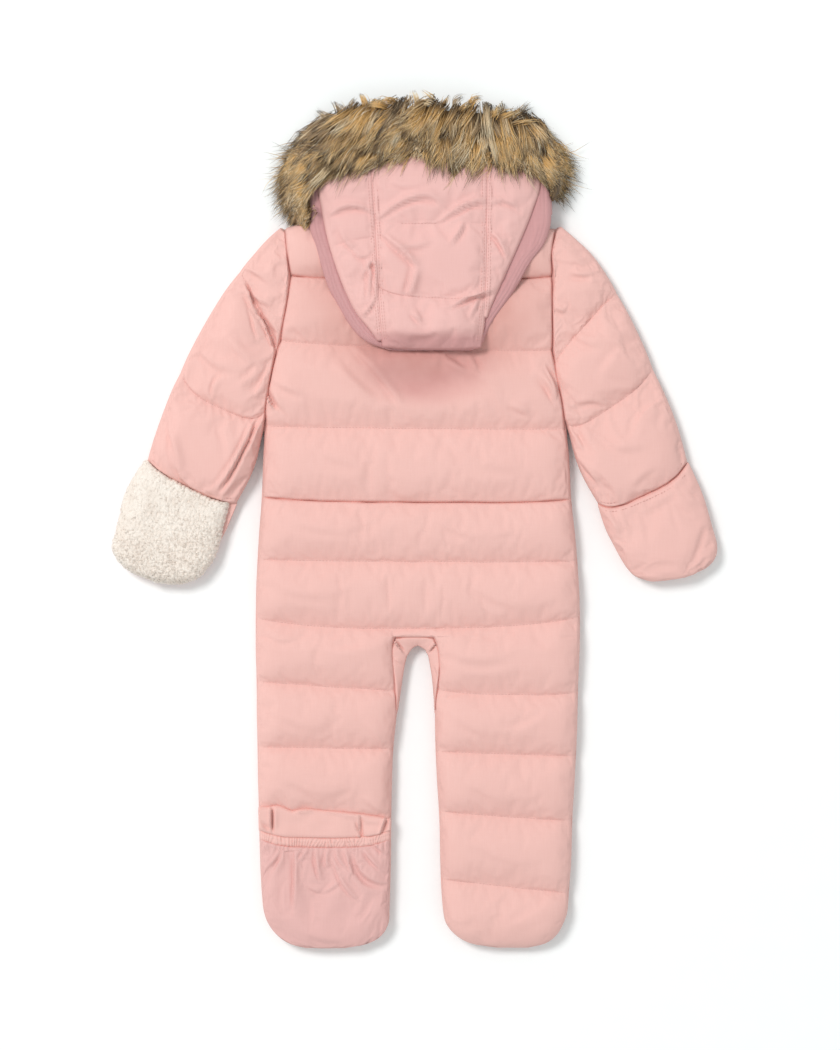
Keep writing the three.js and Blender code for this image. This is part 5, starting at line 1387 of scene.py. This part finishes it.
def furCoat():
    # each strand bends by curl t + sway sin(2 pi t), draws to its lock's tip as t^1.5 and lies on a crest
    # that falls as a quarter circle to the outline
    look, strands, locks = furLook, furLook["strands"], furLook["locks"]
    rng = np.random.default_rng(look["seed"])
    stations = roundRows(furStations, 8)

    def polar(x, y):
        # how far out a point lies in the coat, as a share of its outline's radius
        degrees = np.degrees(np.arctan2(y - furMiddle[1], x - furMiddle[0])) % 360
        degrees = np.where(degrees > 300, 0, degrees)
        reach = np.interp(degrees, *np.array(furReach, float).T)
        return np.hypot(x - furMiddle[0], y - furMiddle[1]), reach

    # comb direction in degrees along the brim, near the brim and near the outer rim
    along = [0.0, 0.12, 0.25, 0.38, 0.5, 0.62, 0.75, 0.88, 1.0]
    comb = [250, 236, 226, 238, 250, 260, 288, 306, 296]
    rim = [240, 220, 206, 212, 232, 262, 318, 334, 308]
    lockS = 0.97 * (np.arange(locks) + rng.uniform(0, 1, locks)) / locks
    lockW = rng.uniform(0.0, 1, locks) ** 0.9
    k = lockS * (len(stations) - 1)
    row = np.stack([np.interp(k, np.arange(len(stations)), stations[:, c]) for c in range(4)], -1)
    reachOut = np.interp(lockS, (0, 0.12, 0.25, 0.38, 0.75, 0.88, 1),
                         (0.5, 0.6, 0.84, 0.95, 0.92, 0.66, 0.2))
    lockX = row[:, 0] + (row[:, 2] - row[:, 0]) * lockW * reachOut
    lockY = row[:, 1] + (row[:, 3] - row[:, 1]) * lockW * reachOut
    turn = np.interp(lockS, along, rim) - np.interp(lockS, along, comb)
    heading = (np.interp(lockS, along, comb) + turn * lockW + 17 * softNoise(lockS * 17, lockW * 3, 3)
               + rng.normal(0, 8, locks))
    ends = np.interp(lockS, (0, 0.1, 0.25, 0.4, 0.7, 0.85, 1), (0.55, 0.75, 0.95, 1, 1, 0.85, 0.6))
    lockLength = rng.uniform(look["lengthMin"], look["lengthMax"], locks) * ends
    curl = rng.normal(0, 0.3, locks)
    stray = rng.uniform(0, 1, locks) < look["stray"] * (lockW > 0.7)
    outward = np.degrees(np.arctan2(lockY - furMiddle[1], lockX - furMiddle[0]))
    heading = np.where(stray, outward + rng.normal(0, 35, locks), heading)
    lockLength = np.where(stray, lockLength * 0.4, lockLength)
    tufts = np.array(furTufts, float)
    chosen = rng.permutation(locks)[:len(tufts)]
    for values, column in ((lockX, 0), (lockY, 1), (heading, 2), (lockLength, 3), (curl, 4)):
        values[chosen] = tufts[:, column]
    lockSway = rng.normal(0, 0.16, locks)

    pick = rng.integers(0, locks, strands)
    x = lockX[pick] + rng.normal(0, look["spread"], strands)
    y = lockY[pick] + rng.normal(0, look["spread"], strands)
    angle = np.radians(heading[pick] + rng.normal(0, 5, strands))[:, None]
    length = (lockLength[pick] * rng.uniform(0.62, 1.04, strands))[:, None]
    t = np.linspace(0, 1, look["rings"])[None, :]
    bend = (curl[pick][:, None] * t + lockSway[pick][:, None] * np.sin(2 * np.pi * t)
            + rng.normal(0, 0.09, strands)[:, None] * t)
    step = length / (look["rings"] - 1)
    px = x[:, None] + np.concatenate([0 * step, np.cumsum(step * np.cos(angle + bend)[:, 1:], 1)], 1)
    py = y[:, None] + np.concatenate([0 * step, np.cumsum(step * np.sin(angle + bend)[:, 1:], 1)], 1)
    # strands of a lock draw together towards its tip
    members = np.maximum(np.bincount(pick, minlength=locks), 1)
    tipX = np.bincount(pick, px[:, -1], locks) / members
    tipY = np.bincount(pick, py[:, -1], locks) / members
    pull = rng.uniform(0.2, 0.75, strands)[:, None] * t ** 1.5
    px = px + (tipX[pick][:, None] - px[:, -1:]) * pull
    py = py + (tipY[pick][:, None] - py[:, -1:]) * pull
    # each strand keeps inside the outline and above the fringe's edge, give or take some millimetres
    far, reach = polar(px[:, -1], py[:, -1])
    over = far - reach + 6 - rng.exponential(8, strands)
    squeeze = 1 - np.clip(over / length[:, 0], 0, 0.75) * ~np.isin(pick, chosen)
    fringe = np.interp(px[:, -1], *np.array(furFringe, float).T) - rng.exponential(8.5, strands) + 7.5
    drop = np.maximum(py[:, 0] - py[:, -1], 1)
    squeeze = np.minimum(squeeze, np.clip((py[:, 0] - fringe) / drop, 0.12, 1))[:, None]
    px, py = px[:, :1] + (px - px[:, :1]) * squeeze, py[:, :1] + (py - py[:, :1]) * squeeze
    far, reach = polar(px, py)
    coat = look["edge"] + (look["crest"] - look["edge"]) * quarterRound(1.03 - far / reach, 0.28)
    lift = rng.uniform(0.5, 9, locks)[pick][:, None] + rng.normal(0, 0.8, strands)[:, None]
    pz = np.clip(coat - 3 * (1 - t) + lift * np.sin(np.pi * t * 0.75), 1.5, 60)
    points = np.stack([px, py, pz], -1)
    radius = look["root"] * (1 - 0.86 * t ** 1.5) * rng.uniform(0.55, 1.15, strands)[:, None]
    dark = np.exp(-((lockX + 88) / 17) ** 2 - ((lockY - 434) / 11) ** 2)
    dark = dark + np.exp(-((lockX - 40) / 15) ** 2 - ((lockY - 452) / 11) ** 2)
    shade = 0.3 + 0.8 * softNoise(lockX / 14, lockY / 14, 5) + dark + rng.normal(0, 0.32, locks)
    shade = np.clip(np.clip(shade, 0, 1)[pick] + rng.normal(0, 0.2, strands), 0, 1)
    cream = rng.uniform(0, 1, locks) + 0.35 * softNoise(lockX / 18, lockY / 18, 8) + dark < look["cream"]
    pale = cream[pick] | (rng.uniform(0, 1, strands) < look["pale"])
    pale = np.where(pale, rng.uniform(0.3, 0.9, strands), 0.0)
    reach = rng.uniform(0.8, 1.0, strands)
    order = np.argsort(pick % look["pieces"], kind="stable")
    material = furMaterial("fauxFur")
    for index, part in enumerate(np.array_split(order, look["pieces"])):
        obj = strandMesh(f"fur_strands_{index + 1}", points[part], radius[part], reach[part], shade[part],
                         pale[part])
        finishPiece(obj, material, "fur", "fur_trim")


furBody()
furCoat()
print("fur made")

# Hidden pieces under the suit: the right foot's flap, and the closure
hiddenLook = {"edge": 22.0, "thick": 3.7, "bandTop": -345.0, "bandHeight": 18.0, "waves": 34}


def hiddenFoot():
    # the same foot on the right, plain, under the front: |sin| waves and a ruffle
    look = hiddenLook
    edge, top, under = look["edge"], look["bandTop"], look["thick"]

    def leftX(y):
        return insideRight(y) + edge

    def rightX(y):
        return sideRight(y) - edge

    end = top - look["bandHeight"]
    g = panelGrid(((0, top, top, 0), (1, end, end, 0)), leftX, rightX, 120, 1.5)
    g["top"] = np.full_like(g["x"], under)
    across = np.sin(np.pi * np.clip((top - g["y"]) / (top - end), 0, 1))
    g["bottom"] = 0.7 * np.abs(np.sin(np.pi * look["waves"] * g["u"])) * across
    sheetPiece("foot_right_elastic", g, pinkCloth)
    start = end - levels["seamGap"]
    last = levels["footEnd"] + edge
    g = panelGrid(((0, start, start, 0), (1, -428, -428, 0), (2, last, last, 6)), leftX, rightX, 50, 2.5)
    g["top"] = np.full_like(g["x"], under)
    ruffle = np.abs(np.sin(np.pi * look["waves"] / 2 * g["u"])) * np.exp(-(start - g["y"]) / 14)
    g["bottom"] = 0.9 * ruffle + 0.15
    sheetPiece("foot_right_flap", g, pinkCloth)


hiddenFoot()


def plainMetal():
    material, tree, shader = newMaterial("zipMetal")
    brushed = noiseNode(tree, objectCoords(tree, (1, 0.05, 1)), 1800, 2)
    colour = rampNode(tree, brushed, ((0.3, (0.5, 0.48, 0.45)), (0.7, (0.68, 0.66, 0.63))))
    tree.links.new(colour, shader.inputs["Base Color"])
    shader.inputs["Metallic"].default_value = 1.0
    shader.inputs["Roughness"].default_value = 0.32
    return material


tapeCloth = wovenCloth("zipTape", (0.62, 0.31, 0.27), (0.74, 0.42, 0.37), clothLook)
metal = plainMetal()
closureLook = {"zip_tape_left": tapeCloth, "zip_tape_right": tapeCloth, "zip_slider": metal,
               "zip_pull": metal}
for nodeName, material in closureLook.items():
    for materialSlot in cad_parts[nodeName].material_slots:
        materialSlot.material = material

# Zip chain: bars of six sides from both edges by turns, over a woven core
zipLook = {"pitch": 1.6, "bar": 4.2, "wide": 0.55, "high": 0.8, "low": -91.5, "top": 320.5, "half": 2.9,
           "bottom": 11.3, "coreTop": 13.5}


def zipChain():
    # six-sided bars every half pitch, from both edges by turns
    look = zipLook
    y = np.arange(look["low"] + 1, look["top"] - 1, look["pitch"] / 2)
    sign = np.where(np.arange(len(y)) % 2, 1.0, -1.0)
    outer, inner = sign * look["half"], sign * (look["half"] - look["bar"])
    angle = np.arange(6) * math.pi / 3
    across, height = look["wide"] * np.cos(angle), look["high"] * np.sin(angle)
    level = look["bottom"] + look["high"] + height + 0 * y[:, None]
    rings = [np.stack([x[:, None] + 0 * across, y[:, None] + across, level], -1) for x in (outer, inner)]
    points = np.concatenate(rings, 1).reshape(-1, 3)
    k = np.arange(6)
    side = np.stack([k, (k + 1) % 6, (k + 1) % 6 + 6, k + 6], -1)
    caps = np.array([(5, 4, 3, 2), (5, 2, 1, 0), (8, 9, 10, 11), (6, 7, 8, 11)])
    one = np.concatenate([side, caps])
    faces = np.where(sign[:, None, None] > 0, one, one[:, ::-1]) + 12 * np.arange(len(y))[:, None, None]
    chain = meshObject("zip_chain", points * mm, faces.reshape(-1, 4))
    finishPiece(chain, tapeCloth, "zip_tape", "zip_coil")
    xs = np.linspace(-look["half"], look["half"], 3)
    xs, ys = np.meshgrid(xs, np.linspace(look["low"], look["top"], 60))
    g = {"x": xs, "y": ys, "top": look["coreTop"] + 0 * xs, "bottom": look["bottom"] + 1.1}
    finishPiece(closedMesh("zip_core", [g]), tapeCloth, "zip_tape", "zip_coil")


zipChain()
print("closure finished")

# Camera, floor and light
studio = {"distance": 3.6, "centreX": 4.4, "centreY": -3.3, "height": 1155.0, "sensor": 24.0,
          "key": 202.0, "keySize": 2.0, "keyPlace": (-2.55, 2.1, 5.2), "keyColour": (1.0, 0.975, 0.96),
          "fill": 0.725, "fillColour": (0.93, 1.0, 1.0, 1), "floorHalf": 6.0, "floor": (0.95, 0.95, 0.95)}


def makeCamera():
    # straight above the middle, so far that the suit's height gives the lens
    camera = bpy.data.objects.new("camera", bpy.data.cameras.new("camera"))
    camera.data.sensor_fit = "VERTICAL"
    camera.data.sensor_height = studio["sensor"]
    camera.data.lens = studio["sensor"] * (studio["distance"] - 0.02) / (studio["height"] * mm)
    camera.location = (studio["centreX"] * mm, studio["centreY"] * mm, studio["distance"])
    bpy.context.scene.collection.objects.link(camera)
    bpy.context.scene.camera = camera


def makeStudio():
    corners = studio["floorHalf"] * np.array([(-1, -1, 0), (1, -1, 0), (1, 1, 0), (-1, 1, 0)])
    floor = meshObject("floor", corners, np.array([(0, 1, 2, 3)]))
    material, tree, shader = newMaterial("paleFloor")
    speck = noiseNode(tree, objectCoords(tree, (1, 1, 1)), 30, 2)
    low = tuple(v * 0.99 for v in studio["floor"])
    pale = rampNode(tree, speck, ((0.3, low), (0.7, studio["floor"])))
    tree.links.new(pale, shader.inputs["Base Color"])
    shader.inputs["Roughness"].default_value = 0.9
    floor.data.materials.append(material)
    light = bpy.data.objects.new("key", bpy.data.lights.new("key", "AREA"))
    light.data.shape = "DISK"
    light.data.size = studio["keySize"]
    light.data.energy = studio["key"]
    light.data.color = studio["keyColour"]
    light.location = studio["keyPlace"]
    light.rotation_euler = (Vector((0, 0, 0)) - light.location).to_track_quat("-Z", "Y").to_euler()
    bpy.context.scene.collection.objects.link(light)
    world = bpy.data.worlds.new("softWhite")
    world.use_nodes = True
    background = world.node_tree.nodes["Background"]
    background.inputs["Color"].default_value = studio["fillColour"]
    background.inputs["Strength"].default_value = studio["fill"]
    bpy.context.scene.world = world
    bpy.context.scene.view_settings.view_transform = "Standard"


sewStitches()
makeCamera()
makeStudio()

print("scene ready")
